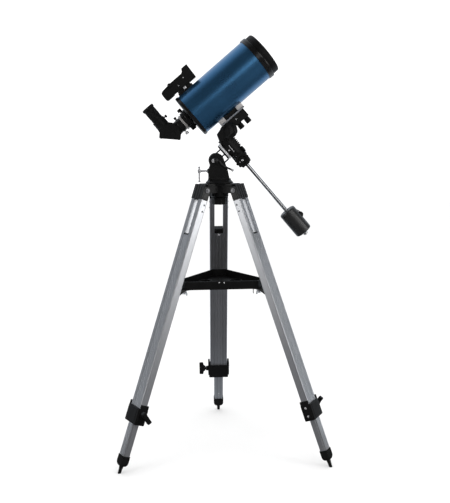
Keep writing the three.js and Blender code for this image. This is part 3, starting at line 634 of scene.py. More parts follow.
def clamp_shape():
    """The collar at the foot of the rails, with its side lugs, screw boss and front panel."""
    collar = box(-14.5, 14.5, -29, 29, -625, -582, 2.6)
    lugs = [box(-11.5, 11.5, y - 2.6, y + 2.6, -617, -572, 1.2) for y in (-29, 29)]
    panels = [box(x - 0.9, x + 0.9, -20, 20, -619, -584, 0.6) for x in (-14.2, 14.2)]
    boss = along_y(turned([(0, -38.5), (6.2, -38.5), (7, -37.5), (7.4, -28), (0, -28)]), 0, -CLAMP_SCREW)
    rails = box(-10.3, 10.3, -25.5, 25.5, -600.3, -560, 0)
    lower = box(-9.8, 9.8, -13.7, 13.7, -640, -590, 0)
    screw_way = box(-11.7, 0, -2.6, 2.6, -640, -570, 0)
    return united(without(collar, rails, lower, screw_way), *lugs, *panels, boss)


def clamp_screws():
    """The two screws on the side away from the thumb knob."""
    return joined(*(along_y(screw_head(3, 31.4, 1.5), z=-z) for z in (590, 612)))


def clamp_knob_shape():
    """A thumb knob: a narrow neck and a flat T-shaped grip."""
    neck = turned([(0, 27), (3, 27), (3, 39), (4.4, 40), (6, 43.5), (7.2, 47), (0, 47.2)], MIDDLE)
    grip_outline = [(-5.5, 39.5), (5.5, 39.5), (9.5, 45.5), (17.2, 46.8), (17.6, 49), (17.4, 56.5),
        (16, 58.3), (-16, 58.3), (-17.4, 56.5), (-17.6, 49), (-17.2, 46.8), (-9.5, 45.5)]
    grip = rounded(turned_by(prism(grip_outline, -5.2, 5.2), 90, "X"), 1.6, 3)
    ribs = [rounded(moved(prism([(-0.7, 0), (0.7, 0), (0.7, 7), (-0.7, 7)], -6, 6), x), 0.4)
        for x in (-14.4, -11.8, 11.8, 14.4)]
    ribs = [moved(turned_by(rib, 90, "X"), z=50) for rib in ribs]
    knob = turned_by(turned_by(joined(neck, grip, *ribs), -90, "X"), -KNOB_REST, "Y")
    return moved(knob, z=-CLAMP_SCREW)


def lower_leg_shape():
    """The sliding section: side tongues in the rails' channels and a grooved face each way."""
    wide, deep, tongue = 11.3, 9.5, 5
    quarter = [(deep, 0), (deep, 3.4), (deep - 1.6, 3.9), (deep - 1.6, 5.1), (deep, 5.6),
        (deep, wide - 0.6), (deep - 0.6, wide), (tongue, wide), (tongue, 13.4), (0, 13.4)]
    right = quarter[1:] + [(-x, y) for x, y in quarter[-2:0:-1]] + [(-deep, 0)]
    outline = [quarter[0]] + right + [(x, -y) for x, y in right[-2::-1]]
    return rounded(prism(outline, -LOWER_END, -PLUG_BOTTOM + 0.5), 0.25, 1, 60)


def stop_cap_shape():
    """The black plug in the top of the sliding section, with a lip down its inner side."""
    plug = box(-10.4, 9.8, -11.4, 11.4, -PLUG_BOTTOM, -PLUG_TOP, 1.0)
    lip = box(-10.8, -6, -11.4, 11.4, -PLUG_BOTTOM - 9, -PLUG_TOP, 1.4)
    return united(plug, lip)


def stop_screws():
    """The screw just under the plug's lip, and two small ones above the foot."""
    heads = [(3.0, PLUG_BOTTOM + 14.5), (1.6, 690), (1.6, 699)]
    return joined(*(moved(turned_by(screw_head(r, 0, 1.5), -90, "Y"), -9.6, 0, -z) for r, z in heads))


def foot_shape():
    """The rubber foot: a sleeve that narrows to a stepped tip, cut flat where it stands."""
    sections = [(-711, 11.2, 14.6), (-728, 11.2, 14.6), (-733, 10.6, 13.2), (-737.5, 8.4, 9.6),
        (-739.5, 5.6, 6.0)]
    shape = bmesh.new()
    rings = []
    for z, deep, wide in sections:
        corner = min(deep, wide) * 0.35
        outline = []
        for cx, cy, start in ((1, 1, 0), (-1, 1, 90), (-1, -1, 180), (1, -1, 270)):
            outline += arc(cx * (deep - corner), cy * (wide - corner), corner, start, start + 90, 5)
        rings.append([shape.verts.new((x, y, z)) for x, y in outline])
    for high, low in zip(rings, rings[1:]):
        for k in range(len(high)):
            after = (k + 1) % len(high)
            shape.faces.new((high[k], high[after], low[after], low[k]))
    shape.faces.new(rings[0])
    shape.faces.new(rings[-1])
    bmesh.ops.recalc_face_normals(shape, faces=shape.faces)
    tip = turned([(0, -738), (5.4, -738), (5.2, -745), (4.6, -746), (4.5, -752), (4.2, -753), (4.1, -758),
        (3.4, -762), (0, -762)], FINE)
    whole = united(without(shape, box(-9.8, 9.8, -13.7, 13.7, -722.3, -700, 0)), tip)
    ground = turned_by(box(-60, 60, -60, 60, -60, 0, 0), LEG_TILT, "Y")
    reach = HINGE_HEIGHT / math.cos(math.radians(LEG_TILT))
    return without(whole, moved(ground, z=-reach))


def add_legs():
    for n, place in LEGS.items():
        leg, lower = f"leg_{n}", f"leg_{n}_lower"
        piece(f"{leg}_bracket_casting", bracket_shape(), place, "bracket_black", leg, [f"{leg}_bracket"])
        piece(f"{leg}_pivot_bolt", pivot_bolt(), place, "grey_steel", leg)
        for side, word in ((-1, "left"), (1, "right")):
            node = f"{leg}_rail_{word}"
            piece(f"{node}_extrusion", rail_shape(side), place, "leg_metal", leg, [node])
        for word in ("right", "left"):
            screws = joined(*(along_y(screw_head(2.7, LEG_HALF - 0.2, 1.4), -3.5, -z) for z in (38, 55.5)))
            if word == "left":
                screws = mirrored_y(screws)
            piece(f"{leg}_screws_{word}", screws, place, "grey_steel", leg)
        piece(f"{leg}_clamp_collar", clamp_shape(), place, "black_plastic", leg, [f"{leg}_clamp"])
        piece(f"{leg}_clamp_screws", clamp_screws(), place, "bright_metal", leg)
        knob = f"{leg}_clamp_knob"
        piece(f"{leg}_thumb_knob", clamp_knob_shape(), place, "black_plastic", knob, [knob])
        node = f"{lower}_section"
        piece(f"{node}_extrusion", lower_leg_shape(), place, "leg_metal", lower, [node])
        piece(f"{leg}_stop_cap", stop_cap_shape(), place, "black_plastic", lower)
        piece(f"{leg}_stop_screw", stop_screws(), place, "bright_metal", lower)
        piece(f"{leg}_rubber_foot", foot_shape(), place, "black_rubber", lower, [f"{leg}_foot"])


def three_fold(points):
    """The points repeated for each leg's direction, as one outline."""
    turns = [around(1, angle) for angle in LEG_ANGLES]
    return [(x * c - y * s, x * s + y * c) for c, s in turns for x, y in points]


def head_shape():
    """The tripod's head: a hub, a three-armed top plate and a deep lug for each leg."""
    arms = three_fold([(27, -22), (49.3, -22.5), (49.3, 22.5), (27, 22)])
    top_plate = prism(arms, HEAD_TOP - 6, HEAD_TOP, 1.2)
    hub = turned([(0, 692.7), (21.5, 692.7), (23.5, 695), (23.5, 716), (26.5, 724), (0, 724)], ROUND)
    boss = turned([(0, 728), (38.5, 728), (39, 728.6), (38.5, 729), (0, 729)], ROUND)
    lugs = []
    for angle in LEG_ANGLES:
        side = [(15, 704), (HINGE_RADIUS, 704), *arc(HINGE_RADIUS, HINGE_HEIGHT, 8, -90, 40, 8),
            (44.3, 724), (15, 724)]
        lug = plate(side, -18.4, 18.4, 1.0)
        lugs.append(turned_by(lug, angle, "Z"))
    hole = pin(5.5, 680, 740, 0.1, FINE)
    return without(united(top_plate, hub, boss, *lugs), hole)


def lock_knob_shape():
    """The lobed knob under the head, with the stud that holds the mount down."""
    grip = rounded(prism(lobed(20.2, 2.2, 8), 673, 691.5), 1.4, 3, 50)
    collar = pin(9.5, 690.5, 692.4, 0.5)
    stud = pin(5, 672, 741, 0.6, FINE)
    cap = turned([(0, 671.8), (7, 672.2), (8.5, 673.6), (8.5, 676), (0, 676)])
    return joined(grip, collar, stud, cap)


def tray_outline(inset):
    """Three long sides and three cut corners, drawn in by the inset."""
    side, corner = 77 - inset, 120 - inset  # distances of a side and of a cut corner from the axis
    half = 2 * side / math.sqrt(3) - corner / math.sqrt(3)
    return three_fold([(corner, -half), (corner, half)])


def tray_shape():
    """A shallow open tray with a rolled rim, eyepiece rings and a raised centre boss."""
    body = rounded(prism(tray_outline(0), TRAY_BOTTOM, TRAY_TOP), 1.4, 3, 20)
    inside = prism(tray_outline(2.5), TRAY_BOTTOM + 2.5, TRAY_TOP + 5)
    ring = [(15.8, 459.3), (18, 459.3), (18, 463.5), (17.4, 464), (16.4, 464), (15.8, 463.5)]
    rings = [moved(turned(ring, MIDDLE), *around(48, angle)) for angle in (30, 150, 270)]
    boss = turned([(0, 459), (11, 459), (10, 463.6), (9, 464.2), (0, 464.2)])
    ribs = [turned_by(box(12, 100, -1, 1, 459.2, 461.6, 0.4), angle, "Z") for angle in LEG_ANGLES]
    return united(without(body, inside), *rings, boss, *ribs)


def tray_screws_shape():
    """Two small screws near the rim of the wall that faces the viewer."""
    return joined(*(moved(along_y(screw_head(2.0, 77, 1.2)), x, 0, 475.5) for x in (-7, 6)))


def tray_hook_shape():
    """A short wire that hangs under the tray."""
    return swept([Vector((82, -68, 458)), Vector((82, -68.5, 450)), Vector((82, -70, 444.5))], 1.1, 10)


def bracket_under_tray(angle):
    """A bent plate from the tray's corner to the leg."""
    lean = math.radians(LEG_TILT)
    below = TRAY_BOTTOM - 0.3

    def leg_face(z):
        return HINGE_RADIUS + (HINGE_HEIGHT - z) * math.tan(lean) - 10.4 / math.cos(lean)

    side = [(103, below), (103, below - 3), (leg_face(below - 3) - 7, below - 3), (leg_face(432) - 3, 432),
        (leg_face(432), 432), (leg_face(below + 12), below + 12), (leg_face(below + 12) - 3, below + 12),
        (leg_face(below) - 3, below)]
    gusset = [(112, below - 2), (leg_face(below) - 5, below - 2), (leg_face(438) - 3, 438)]
    gussets = [plate(gusset, y - 1, y + 1, 0.4) for y in (-8.5, 8.5)]
    return turned_by(joined(plate(side, -11, 11, 0.6), *gussets), angle, "Z")


def wing_nut(angle):
    """The nut that holds the tray to its bracket, with two ears, and the screw's end."""
    below = TRAY_BOTTOM - 3.6
    hub = turned([(0, below), (6, below), (5.4, below - 5), (3.8, below - 7), (0, below - 7)], FINE)
    ear = [(3, below - 2), (8, below - 4), *arc(10, below - 8.5, 4, 60, -120, 8), (4, below - 6)]
    ears = [plate(ear, -1.1, 1.1, 0.5), turned_by(plate(ear, -1.1, 1.1, 0.5), 180, "Z")]
    screw = pin(2.2, below - 10.5, below, 0.4, FINE)
    whole = moved(turned_by(joined(hub, *ears, screw), 90, "Z"), 112)
    return turned_by(whole, angle, "Z")


def add_tripod():
    add_legs()
    tray = "accessory_tray"
    add_all(GROUND, [
        ("tripod_head_casting", head_shape(), "black_casting", "tripod_head", "tripod_head"),
        ("azimuth_lock_grip", lock_knob_shape(), "black_plastic", "azimuth_lock_knob", "azimuth_lock_knob"),
        ("tray_moulding", tray_shape(), "black_plastic", tray, tray),
        ("tray_screws", tray_screws_shape(), "bright_metal", tray),
        ("tray_hook", tray_hook_shape(), "black_steel", tray),
    ])
    for n, angle in enumerate(LEG_ANGLES, 1):
        node = f"tray_bracket_{n}"
        piece(f"{node}_plate", bracket_under_tray(angle), GROUND, "black_steel", tray, [node])
        piece(f"tray_wing_nut_{n}", wing_nut(angle), GROUND, "bright_metal", tray)


# ---------- mount: the base stands on the tripod's axis ----------

BASE_TOP = HEAD_TOP + 0.3
PIVOT = (-8, 788.5)  # X and Z of the latitude pivot
BOLT_HEIGHT = 761
BOLT_BAR = -53


def base_shape():
    """A flared foot and two upright cheeks that are rounded about the pivot."""
    foot = turned([(0, BASE_TOP), (35.2, BASE_TOP), (36, BASE_TOP + 0.8), (36, BASE_TOP + 2.4),
        (35.2, BASE_TOP + 3.4), (31.6, BASE_TOP + 6.6), (29.8, BASE_TOP + 12), (0, BASE_TOP + 12)], ROUND)
    side = [(-29, 738), (27, 738), (25.6, 744), (21, 766)]
    side += arc(PIVOT[0], PIVOT[1], 19.7, 17.5, 209, 24)
    side += [(-24.5, 774), (-27.6, 768), (-29, 762)]
    cheeks = without(plate(side, -22, 22, 1.6), box(-60, 60, -13, 13, 767, 830, 0))
    bosses = [along_y(pin(12.5, s * 22 - 1, s * 22 + 1.1, 0.5), PIVOT[0], PIVOT[1]) for s in (-1, 1)]
    step = box(-26.5, 24, -23.4, 23.4, 740, 744.5, 1.2)
    screw_boss = moved(turned_by(pin(6.2, -31.5, -27, 0.7), 90, "Y"), 0, 0, BOLT_HEIGHT)
    whole = united(foot, cheeks, *bosses, step, screw_boss)
    return without(whole, pin(5.6, 720, 744, 0.1, FINE))


def base_fasteners():
    """The pivot's bolt heads on both cheeks, with their washers."""
    front = along_y(joined(hexagon(4.1, 22.8, 26.4), pin(5.2, 22.4, 23.4, 0.3)), -15.5, 788)
    back = along_y(joined(hexagon(7, -29, -23), pin(9.6, -24.4, -22.6, 0.4)), *PIVOT)
    return joined(front, back)


def threaded(radius, start, end, pitch=1.6, sides=FINE):
    """A screw thread as a stack of rings, about Z."""
    profile = [(0, start), (radius - 0.5, start)]
    count = int((end - start - 1) / pitch)
    for k in range(count):
        z = start + 0.5 + k * pitch
        profile += [(radius, z + pitch * 0.3), (radius, z + pitch * 0.5), (radius - 0.45, z + pitch * 0.9)]
    return turned([*profile, (radius - 0.5, end), (0, end)], sides)


def latitude_bolt_shape():
    """The T-handled bolt that sets the latitude."""
    rod = moved(turned_by(threaded(3, BOLT_BAR, -20.5), 90, "Y"), 0, 0, BOLT_HEIGHT)
    hub = moved(turned_by(pin(4.7, BOLT_BAR - 4, BOLT_BAR + 4, 0.9, MIDDLE), 90, "Y"), 0, 0, BOLT_HEIGHT)
    bar = moved(turned([(0, 731.8), (2.6, 732), (3.2, 732.8), (3.2, 734.8), (2.6, 735.6), (2.2, 736.6),
        (2.2, 768.8), (2.6, 769.8), (3.2, 770.6), (3.2, 772.4), (2.6, 773), (0, 773.2)], FINE), BOLT_BAR)
    return joined(rod, hub, bar)


def lock_lever_shape():
    """A bent lever on a stepped hub in front of the near cheek."""
    x, z = PIVOT
    y = -27
    route = [(x, y, z + 1), (0, y - 1, 787.5), (6, y - 2, 779.5), (17, y - 3, 771.5), (32, y - 6, 764.5)]
    arm = swept([Vector(p) for p in route], 2.5, 16)
    hub = turned([(0, 22.3), (6, 22.3), (6.6, 23), (6.6, 26.6), (5.6, 27.8), (4.2, 28.2), (3.6, 30.2),
        (3, 30.6), (0, 30.6)])
    return joined(arm, along_y(hub, x, z))


def polar_housing_shape():
    """A barrel between the cheeks with three ribs that carry the flange of the polar axis."""
    barrel = along_y(turned([(6, -12.7), (16.4, -12.7), (17.6, -11.8), (17.9, -11), (17.9, 11),
        (17.6, 11.8), (16.4, 12.7), (6, 12.7)], ROUND))
    ribs = [box(3, 27, -12, 12, z - 1.5, z + 1.5, 0.6) for z in (14, -2.5, -18.5)]
    flange = turned([(6.4, 26.1), (20.8, 26.1), (22, 27), (22, 28.6), (21.4, 29.3), (6.4, 29.3)], ROUND)
    return united(barrel, *ribs, along_x(flange, z=POLAR_RISE))


def setting_circle_shape():
    """The graduated ring above the flange of the polar axis."""
    ring = [(6.4, 29.6), (23.2, 29.6), (24, 30.3), (24, 33.2), (23.2, 33.9), (22.6, 35), (6.4, 35)]
    return along_x(turned(ring, ROUND), z=POLAR_RISE)


def axle_shape(radius, z0, z1):
    """A round bar about Z with a shallow groove at its middle."""
    middle = (z0 + z1) / 2
    return turned([(0, z0), (radius - 0.6, z0), (radius, z0 + 0.6), (radius, middle - 1),
        (radius - 0.5, middle - 0.5), (radius - 0.5, middle + 0.5), (radius, middle + 1),
        (radius, z1 - 0.6), (radius - 0.6, z1), (0, z1)], FINE)


def dec_housing_shape():
    """The housing of the declination axis, with its neck, drive cover and clamp block."""
    barrel = turned([(0, -60), (13.6, -60), (14.8, -59.2), (16.4, -56), (16.9, -50), (17, -40.4),
        (18.6, -38), (19.3, -35.6), (19.3, -24), (18.7, -23.4), (18.7, -22), (19.3, -21.4), (19.3, 20),
        (18.7, 20.6), (18.7, 22), (19.3, 22.6), (19.3, 26), (18.6, 27), (0, 27)], ROUND)
    neck = turned([(0, 35.3), (17.4, 35.3), (18.5, 36.2), (18.5, 46), (17.6, 47), (17.6, 50), (18.4, 51),
        (18.4, 56), (0, 56)], ROUND)
    cover = box(58, 73.5, -17, 12, -12, 16, 1.8)
    teeth = [box(72, 76.6, -14, 9, z - 1.5, z + 1.5, 0.6) for z in (-8.5, -3.2, 2.1, 7.4, 12.7)]
    clamp = box(40, 52, -21, -8, -34, -18, 2.0)
    solid = united(moved(barrel, DEC_X), along_x(neck, z=POLAR_RISE), cover, clamp, *teeth)
    bores = [box(68, 90, -17, 8, -32.5, -13.5, 0), moved(pin(6.3, -29.5, 40, 0.1, FINE), DEC_X),
        moved(pin(5.3, -70, -45.7, 0.1, FINE), DEC_X), along_x(pin(6.3, 30, 46.4, 0.1, FINE), z=POLAR_RISE)]
    return without(solid, *bores)


def dec_housing_trim():
    """Bright screws, and a thin bright strip down the housing that is a painted highlight standing for a
    glint.
    """
    neck_screw = along_y(screw_head(2.3, 18, 1.2), 42.6, -1.8)
    # a thin bright metal strip: a painted highlight where a glint runs down the housing
    glint_strip = box(49.4, 50.6, -19.6, -17.8, -14, 9, 0.4)
    clamp_screw = along_y(screw_head(2.0, 20.6, 1.2), 46, -27)
    cover_screws = [moved(turned_by(screw_head(1.8, 0, 1.0), 90, "Y"), 73.4, y, z)
        for y, z in ((-12.5, 14), (7.5, -10))]
    return joined(neck_screw, glint_strip, clamp_screw, *cover_screws)


def lobed_knob(radius, depth, lobes, length, dish=3.0):
    """A moulded knob from z = 0 to its length, with a dished face and a raised ring on it."""
    grip = rounded(prism(lobed(radius, depth, lobes), 0, length), 1.2, 3, 50)
    dished = turned([(0, length + 1), (radius * 0.62, length + 1), (radius * 0.5, length - dish),
        (0, length - dish)])
    ring = turned([(radius * 0.2, length - dish - 1), (radius * 0.34, length - dish - 1),
        (radius * 0.34, length - 0.8), (radius * 0.2, length - 0.8)])
    return joined(without(grip, dished), ring)


def dec_lock_shape():
    grip = moved(lobed_knob(20, 2.9, 12, 11), z=19.8)
    collar = turned([(0, 10), (9, 10), (9, 19), (8.4, 20.4), (0, 20.4)])
    return along_y(joined(grip, collar), *DEC_LOCK)


def dec_lock_screws():
    """The bright screws in the knob's face."""
    x, z = DEC_LOCK
    middle, side = screw_head(3.1, 28.6, 1.8), screw_head(1.7, 28.0, 1.0)
    return joined(along_y(middle, x, z), along_y(side, x - 8.4, z))


def slow_knob_shape():
    """The small ribbed knob of the slow motion."""
    start = 69
    body = turned([(0, start), (4, start), (5.6, start + 0.8), (8, start + 2.2), (8.4, start + 3.2),
        (8.4, start + 6.2), (7.8, start + 7.2), (6.6, start + 7.8), (0, start + 7.8)])
    count = 20
    ribs = [turned_by(box(7.9, 8.8, -0.45, 0.45, start + 3.2, start + 6.2, 0.3), 360 / count * k, "Z")
        for k in range(count)]
    return along_x(joined(body, *ribs), *SLOW_KNOB)


def dec_head_shape():
    """The head on the declination axis: a block under the saddle and the round cover of its drive."""
    block = plate([(37.3, 27.4), (75.2, 27.4), (75.2, 56.8), (66, 56.8), (60, 53.6), (45.4, 49.8)], -19,
        19, 1.4)
    cover = turned([(0, -7), (22.6, -7), (24, -5.8), (24, 2), (23.2, 4.2), (21.4, 5.6), (20.6, 5.2),
        (19.4, 5.2), (18.6, 6.2), (11, 7), (10.4, 6.4), (9.4, 6.4), (8.8, 7.2), (0, 7.2)], ROUND)
    cover = turned_by(turned_by(along_y(cover), -46, "Z"), 40, "Y")
    saddle_room = box(75.3, 160, -21.3, 40, 33.7, 80, 0)
    tube_side = box(0, 200, -60, 60, 56.9, 90, 0)
    # what the setting circle and the base sweep as the head turns about the declination axis
    swept_room = turned([(0, -30), (90, -30), (90, 20.6), (52, 20.6), (46, 18.8), (42, 16.6), (36, 16.6),
        (34, 18.6), (32, 21.8), (30, 24.4), (28, 26), (26, 27.3), (0, 27.3)], ROUND)
    # where the base's round top stands with both axes turned to their lower limits
    base_room = moved(pin(21.2, -20, 26.6, 0.1, ROUND), 64.5, -54.2)
    bore = moved(pin(6.3, 20, 46.4, 0.1, FINE), DEC_X)
    collar = turned([(6.4, 27.4), (19.6, 27.4), (20.4, 28.2), (20.4, 31.4), (19.6, 32.2), (6.4, 32.2)],
        ROUND)
    whole = united(block, moved(cover, 74.5, -25, 35.5))
    whole = without(whole, saddle_room, tube_side, moved(swept_room, DEC_X), base_room, bore)
    return united(whole, moved(collar, DEC_X))


def saddle_shape():
    """The clamp of the dovetail rail, with a fixed jaw and a jaw pressed by the knobs."""
    x0, x1, z0, z1 = SADDLE
    body = plate([(x0, z0), (x1, z0), (x1, z1), (x0, z1)], -21, 21, 1.0)
    slot = box(x0 - 2, x1 + 2, -22, -20.2, z1 - 6.4, z1 - 5.2, 0)
    lower_slot = box(x0 + 4, x1 - 4, -22, -20.4, z0 + 7.5, z0 + 8.5, 0)
    holes = [moved(pin(3.4, 20, 48, 0.1, FINE), x) for x in SADDLE_KNOBS]
    return without(body, slot, lower_slot, *holes)


def saddle_screw():
    return along_y(screw_head(2.2, 20.8, 1.2), 108.4, 47.5)


def saddle_knob_shape(x):
    """A hanging clamp knob: a lobed grip on a round body, and its screw."""
    grip = rounded(prism(lobed(7.8, 0.9, 8), 18.4, 30.5), 0.9, 3, 50)
    body = turned([(0, 18), (5.4, 18), (6.4, 18.8), (6.4, 31), (7.6, 31.6), (7.6, 33.6), (3, 33.7),
        (3, 47.5), (0, 47.5)], MIDDLE)
    return moved(joined(grip, body), x)


def counterweight_shape():
    """A round-cornered drum with a bore for the shaft and a pad for its screw."""
    low, high, radius = WEIGHT
    corner = [(5.2, 0), (3.4, 0.5), (1.4, 1.7), (0.4, 3.2), (0, 5.2)]
    profile = [(5.3, low)] + [(radius - r, low + z) for r, z in corner]
    profile += [(radius - r, high - z) for r, z in reversed(corner)]
    profile += [(9.4, high), (8.6, high - 0.9), (5.3, high - 0.9)]
    body = moved(turned(profile, ROUND), DEC_X)
    pad = along_x(turned([(0, 70), (8.6, 70), (8.6, 77.6), (7.8, 78.3), (0, 78.3)]), 0, WEIGHT_SCREW)
    screw_hole = along_x(pin(3.4, 50, 90, 0.1, FINE), 0, WEIGHT_SCREW)
    return without(united(body, pad), screw_hole, moved(pin(5.3, -310, -200, 0.1, MIDDLE), DEC_X))


def counterweight_knob_shape():
    neck = along_x(turned([(0, 60.5), (3, 60.5), (3, 77.4), (6.6, 77.6), (6.0, 80), (4.6, 82), (0, 82)]))
    wing = plate([(78.6, -7.6), (84.2, -2), (84.6, 3.4), (82.4, 6), (79.8, 14.6), (78.6, 17)], -5, 5, 0.9)
    return moved(united(neck, wing), z=WEIGHT_SCREW)


def end_stop_shape():
    """The domed washer on the shaft's end."""
    washer = turned([(5.3, -302.2), (6.2, -302.2), (6.6, -302.6), (6.6, -304), (5.8, -305.2), (3.6, -306),
        (3.6, -307), (0, -307.4), (0, -303.3), (5.3, -303.3)], MIDDLE)
    return moved(washer, DEC_X)


def add_mount():
    lever, turning, knob = "latitude_lock_lever", "declination_body", "counterweight_knob"
    add_all(GROUND, [
        ("base_casting", base_shape(), "black_casting", "azimuth_base", "azimuth_base"),
        ("base_fasteners", base_fasteners(), "bright_metal", "azimuth_base"),
        ("latitude_t_bolt", latitude_bolt_shape(), "bright_metal", "latitude_bolt", "latitude_bolt"),
        ("latitude_lever", lock_lever_shape(), "black_steel", lever, lever),
        ("lever_ball", ball(3.9, 33, -33.4, 763.8), "bright_metal", lever),
    ])
    axle = along_x(axle_shape(6, 26.1, 46), z=POLAR_RISE)
    bar = moved(axle_shape(SHAFT[2], SHAFT[0], SHAFT[1]), DEC_X)
    add_all(HEAD, [
        ("polar_casting", polar_housing_shape(), "black_casting", "polar_body", "polar_housing"),
        ("setting_circle", setting_circle_shape(), "dial", "polar_body", "ra_setting_circle"),
        ("polar_axle_shaft", axle, "bright_metal", turning, "polar_axle"),
        ("dec_housing_casting", dec_housing_shape(), "black_casting", turning, "dec_housing"),
        # the housing's bright trim includes a strip that is a painted highlight, standing for a glint
        ("dec_housing_screws_and_glint_strip", dec_housing_trim(), "bright_metal", turning),
        ("dec_lock_grip", dec_lock_shape(), "black_plastic", "dec_lock_knob", "dec_lock_knob"),
        ("dec_lock_screws", dec_lock_screws(), "bright_metal", "dec_lock_knob"),
        ("slow_motion_grip", slow_knob_shape(), "black_plastic", "ra_slow_motion_knob",
            "ra_slow_motion_knob"),
        ("counterweight_bar", bar, "polished_steel", turning, "counterweight_shaft"),
        ("shaft_end_cap", end_stop_shape(), "bright_metal", turning, "shaft_end_stop"),
        ("counterweight_body", counterweight_shape(), "black_iron", "counterweight", "counterweight"),
        ("counterweight_grip", counterweight_knob_shape(), "black_plastic", knob, knob),
    ])


# ---------- telescope ----------


def about_tube(profile, sides=ROUND):
    return along_x(turned(profile, sides), z=TUBE_AXIS)


def tube_room(radius, x0=-50):
    """A solid round the tube's axis, to cut what touches the tube or must clear it."""
    return about_tube([(0, x0), (radius, x0), (radius, 300), (0, 300)], 2 * ROUND)


def rail_feet_shape():
    """The bright blocks that hold the tube on its rail."""
    feet = [box(x0, x1, -14, 14, 60.8, 76, 1.0) for x0, x1 in ((69, 87), (127, 146))]
    return without(joined(*feet), tube_room(TUBE_RADIUS + 0.1))


def dovetail_shape():
    bar = [(-19, 57.2), (19, 57.2), (16.4, 61), (-16.4, 61)]
    return rounded(turned_by(turned_by(prism(bar, 69, 146), 90, "X"), 90, "Z"), 0.5)


def rail_gap_filler_and_shade_shape():
    """A black block that fills the gap between the rail's feet: partly a dark part under the rail, partly
    painted shade in the gap.
    """
    return without(box(87.5, 126.5, -12, 12, 60.8, 72, 0.8), tube_room(TUBE_RADIUS + 0.1))


def tube_shape():
    wall = 1.6
    inner, outer = TUBE_RADIUS - wall, TUBE_RADIUS
    x0, x1 = TUBE
    return about_tube([(inner, x0), (outer - 0.4, x0), (outer, x0 + 0.4), (outer, x1 - 0.4),
        (outer - 0.4, x1), (inner, x1)], 2 * ROUND)


def rear_cell_shape():
    """The casting at the tube's rear end, with a hole for the focus knob."""
    body = about_tube([(14, 21.4), (22, 21.4), (22.6, 22.2), (50, 22.2), (50.8, 21.4), (57.2, 21.4),
        (59, 22), (60, 23.2), (60.3, 24.6), (60.3, 29.8), (59.8, 30.4), (56.8, 30.4), (56.8, 35.8),
        (14, 35.8)], 2 * ROUND)
    return without(body, along_x(pin(3.4, 10, 50, 0.1, FINE), *FOCUS_KNOB))


def rear_cell_screws():
    heads = []
    for angle in (30, 150, 270):
        y, z = around(42, angle)
        heads.append(moved(turned_by(screw_head(2.6, 0, 1.3), -90, "Y"), 22.2, y, TUBE_AXIS + z))
    return joined(*heads)


def front_ring_shape():
    """The ring round the lens, stepped outside and bevelled inside."""
    return about_tube([(52, 240.5), (56.8, 240.5), (56.8, 248.5), (58.9, 248.5), (58.9, 244.6),
        (60.5, 244.6), (61, 245.1), (61, 252), (60.6, 252.4), (60.6, 253.2), (61, 253.6), (61, 256.8),
        (60.5, 258.3), (59.3, 259), (55.4, 259), (54.8, 258.4), (52, 252.5)], 2 * ROUND)


def lens_shape():
    """A deeply curved meniscus, hollow towards the sky."""
    radii = [51.4 * k / 8 for k in range(9)]
    front = [(r, 240 + r * r / 280) for r in radii]
    back = [(r, 233 + r * r / 292) for r in reversed(radii)]
    return about_tube(front + back)


def secondary_spot():
    radii = [15 * k / 4 for k in range(5)]
    front = [(r, 232.8 + r * r / 292) for r in radii]
    back = [(r, 232.4 + r * r / 292) for r in reversed(radii)]
    return about_tube(front + back)


def mirror_shape():
    curve = [(12.5 + 39.5 * k / 6, 52 + 3 * (k / 6) ** 2) for k in range(7)]
    return about_tube([(12.5, 44), (51, 44), (52, 45)] + curve[::-1])


def baffle_shape():
    ridges = []
    for k in range(20):
        x = 46 + 5 * k
        ridges += [(12.2, x), (11.9, x + 0.6), (11.9, x + 1.4), (12.2, x + 2)]
    return about_tube([(10.5, 40), (12.2, 40)] + ridges + [(12.2, 150), (10.5, 150)], MIDDLE)


def dust_cap_shape():
    """A shallow cap that plugs into the front ring, with a stepped face."""
    start = 259.3
    return about_tube([(0, 277), (48, 273.5), (48, start - 5), (50.6, start - 5), (51, start - 4.4),
        (51, start), (56.8, start), (57.3, start + 0.5), (57.3, 262.6), (56.9, 263), (56.9, 263.8),
        (57.3, 264.2), (57.3, 273.6), (56.3, 275.3), (55.2, 276.6), (53.6, 277.4), (50.4, 278),
        (49.8, 277.4), (48.4, 277.4), (47.8, 278), (20, 278.6), (0, 278.8)], 2 * ROUND)


def ribbed_knob(radius, start, end, ribs, sides=MIDDLE):
    """A knob about Z from start to end with ribs round it and a dished outer face at the start."""
    body = turned([(0, start + 1.2), (radius * 0.6, start + 1.2), (radius * 0.7, start),
        (radius - 1.2, start), (radius - 0.4, start + 0.8), (radius - 0.3, end - 1), (radius - 1.4, end),
        (0, end)], sides)
    low, high = start + 1, end - 1.2
    teeth = [turned_by(box(radius - 0.8, radius, -0.35, 0.35, low, high, 0.2), 360 / ribs * k, "Z")
        for k in range(ribs)]
    return joined(body, *teeth)


def focus_knob_shape():
    grip = ribbed_knob(7, 5.1, 18.4, 28)
    stem = pin(3, 17.5, 34.8, 0.3, FINE)
    return along_x(joined(grip, stem), *FOCUS_KNOB)


def visual_back_shape():
    """The threaded barrel behind the cell, stepped up to a wide collar."""
    barrel = about_tube([(15.6, -16), (17.6, -16), (18.2, -15.4), (18.6, -14), (18.6, -6), (18, -5.4),
        (18, -4), (18.6, -3.4), (18.6, 3), (19.4, 4), (22.6, 4.6), (23.4, 5.4), (23.4, 10.6), (24, 11.4),
        (25.8, 12), (26.5, 13), (26.5, 19.4), (25.8, 20.4), (15.6, 21.1)], ROUND)
    return without(barrel, along_x(pin(8.2, 3, 19, 0.1, MIDDLE), *FOCUS_KNOB))


def thread_ring_shape():
    """A bright threaded ring round the visual back."""
    profile = [(18.8, -2.8)]
    for k in range(4):
        x = -2.4 + 1.3 * k
        profile += [(21.0, x), (21.6, x + 0.4), (21.6, x + 0.8), (21.0, x + 1.2)]
    return about_tube([*profile, (18.8, 3.6)], ROUND)


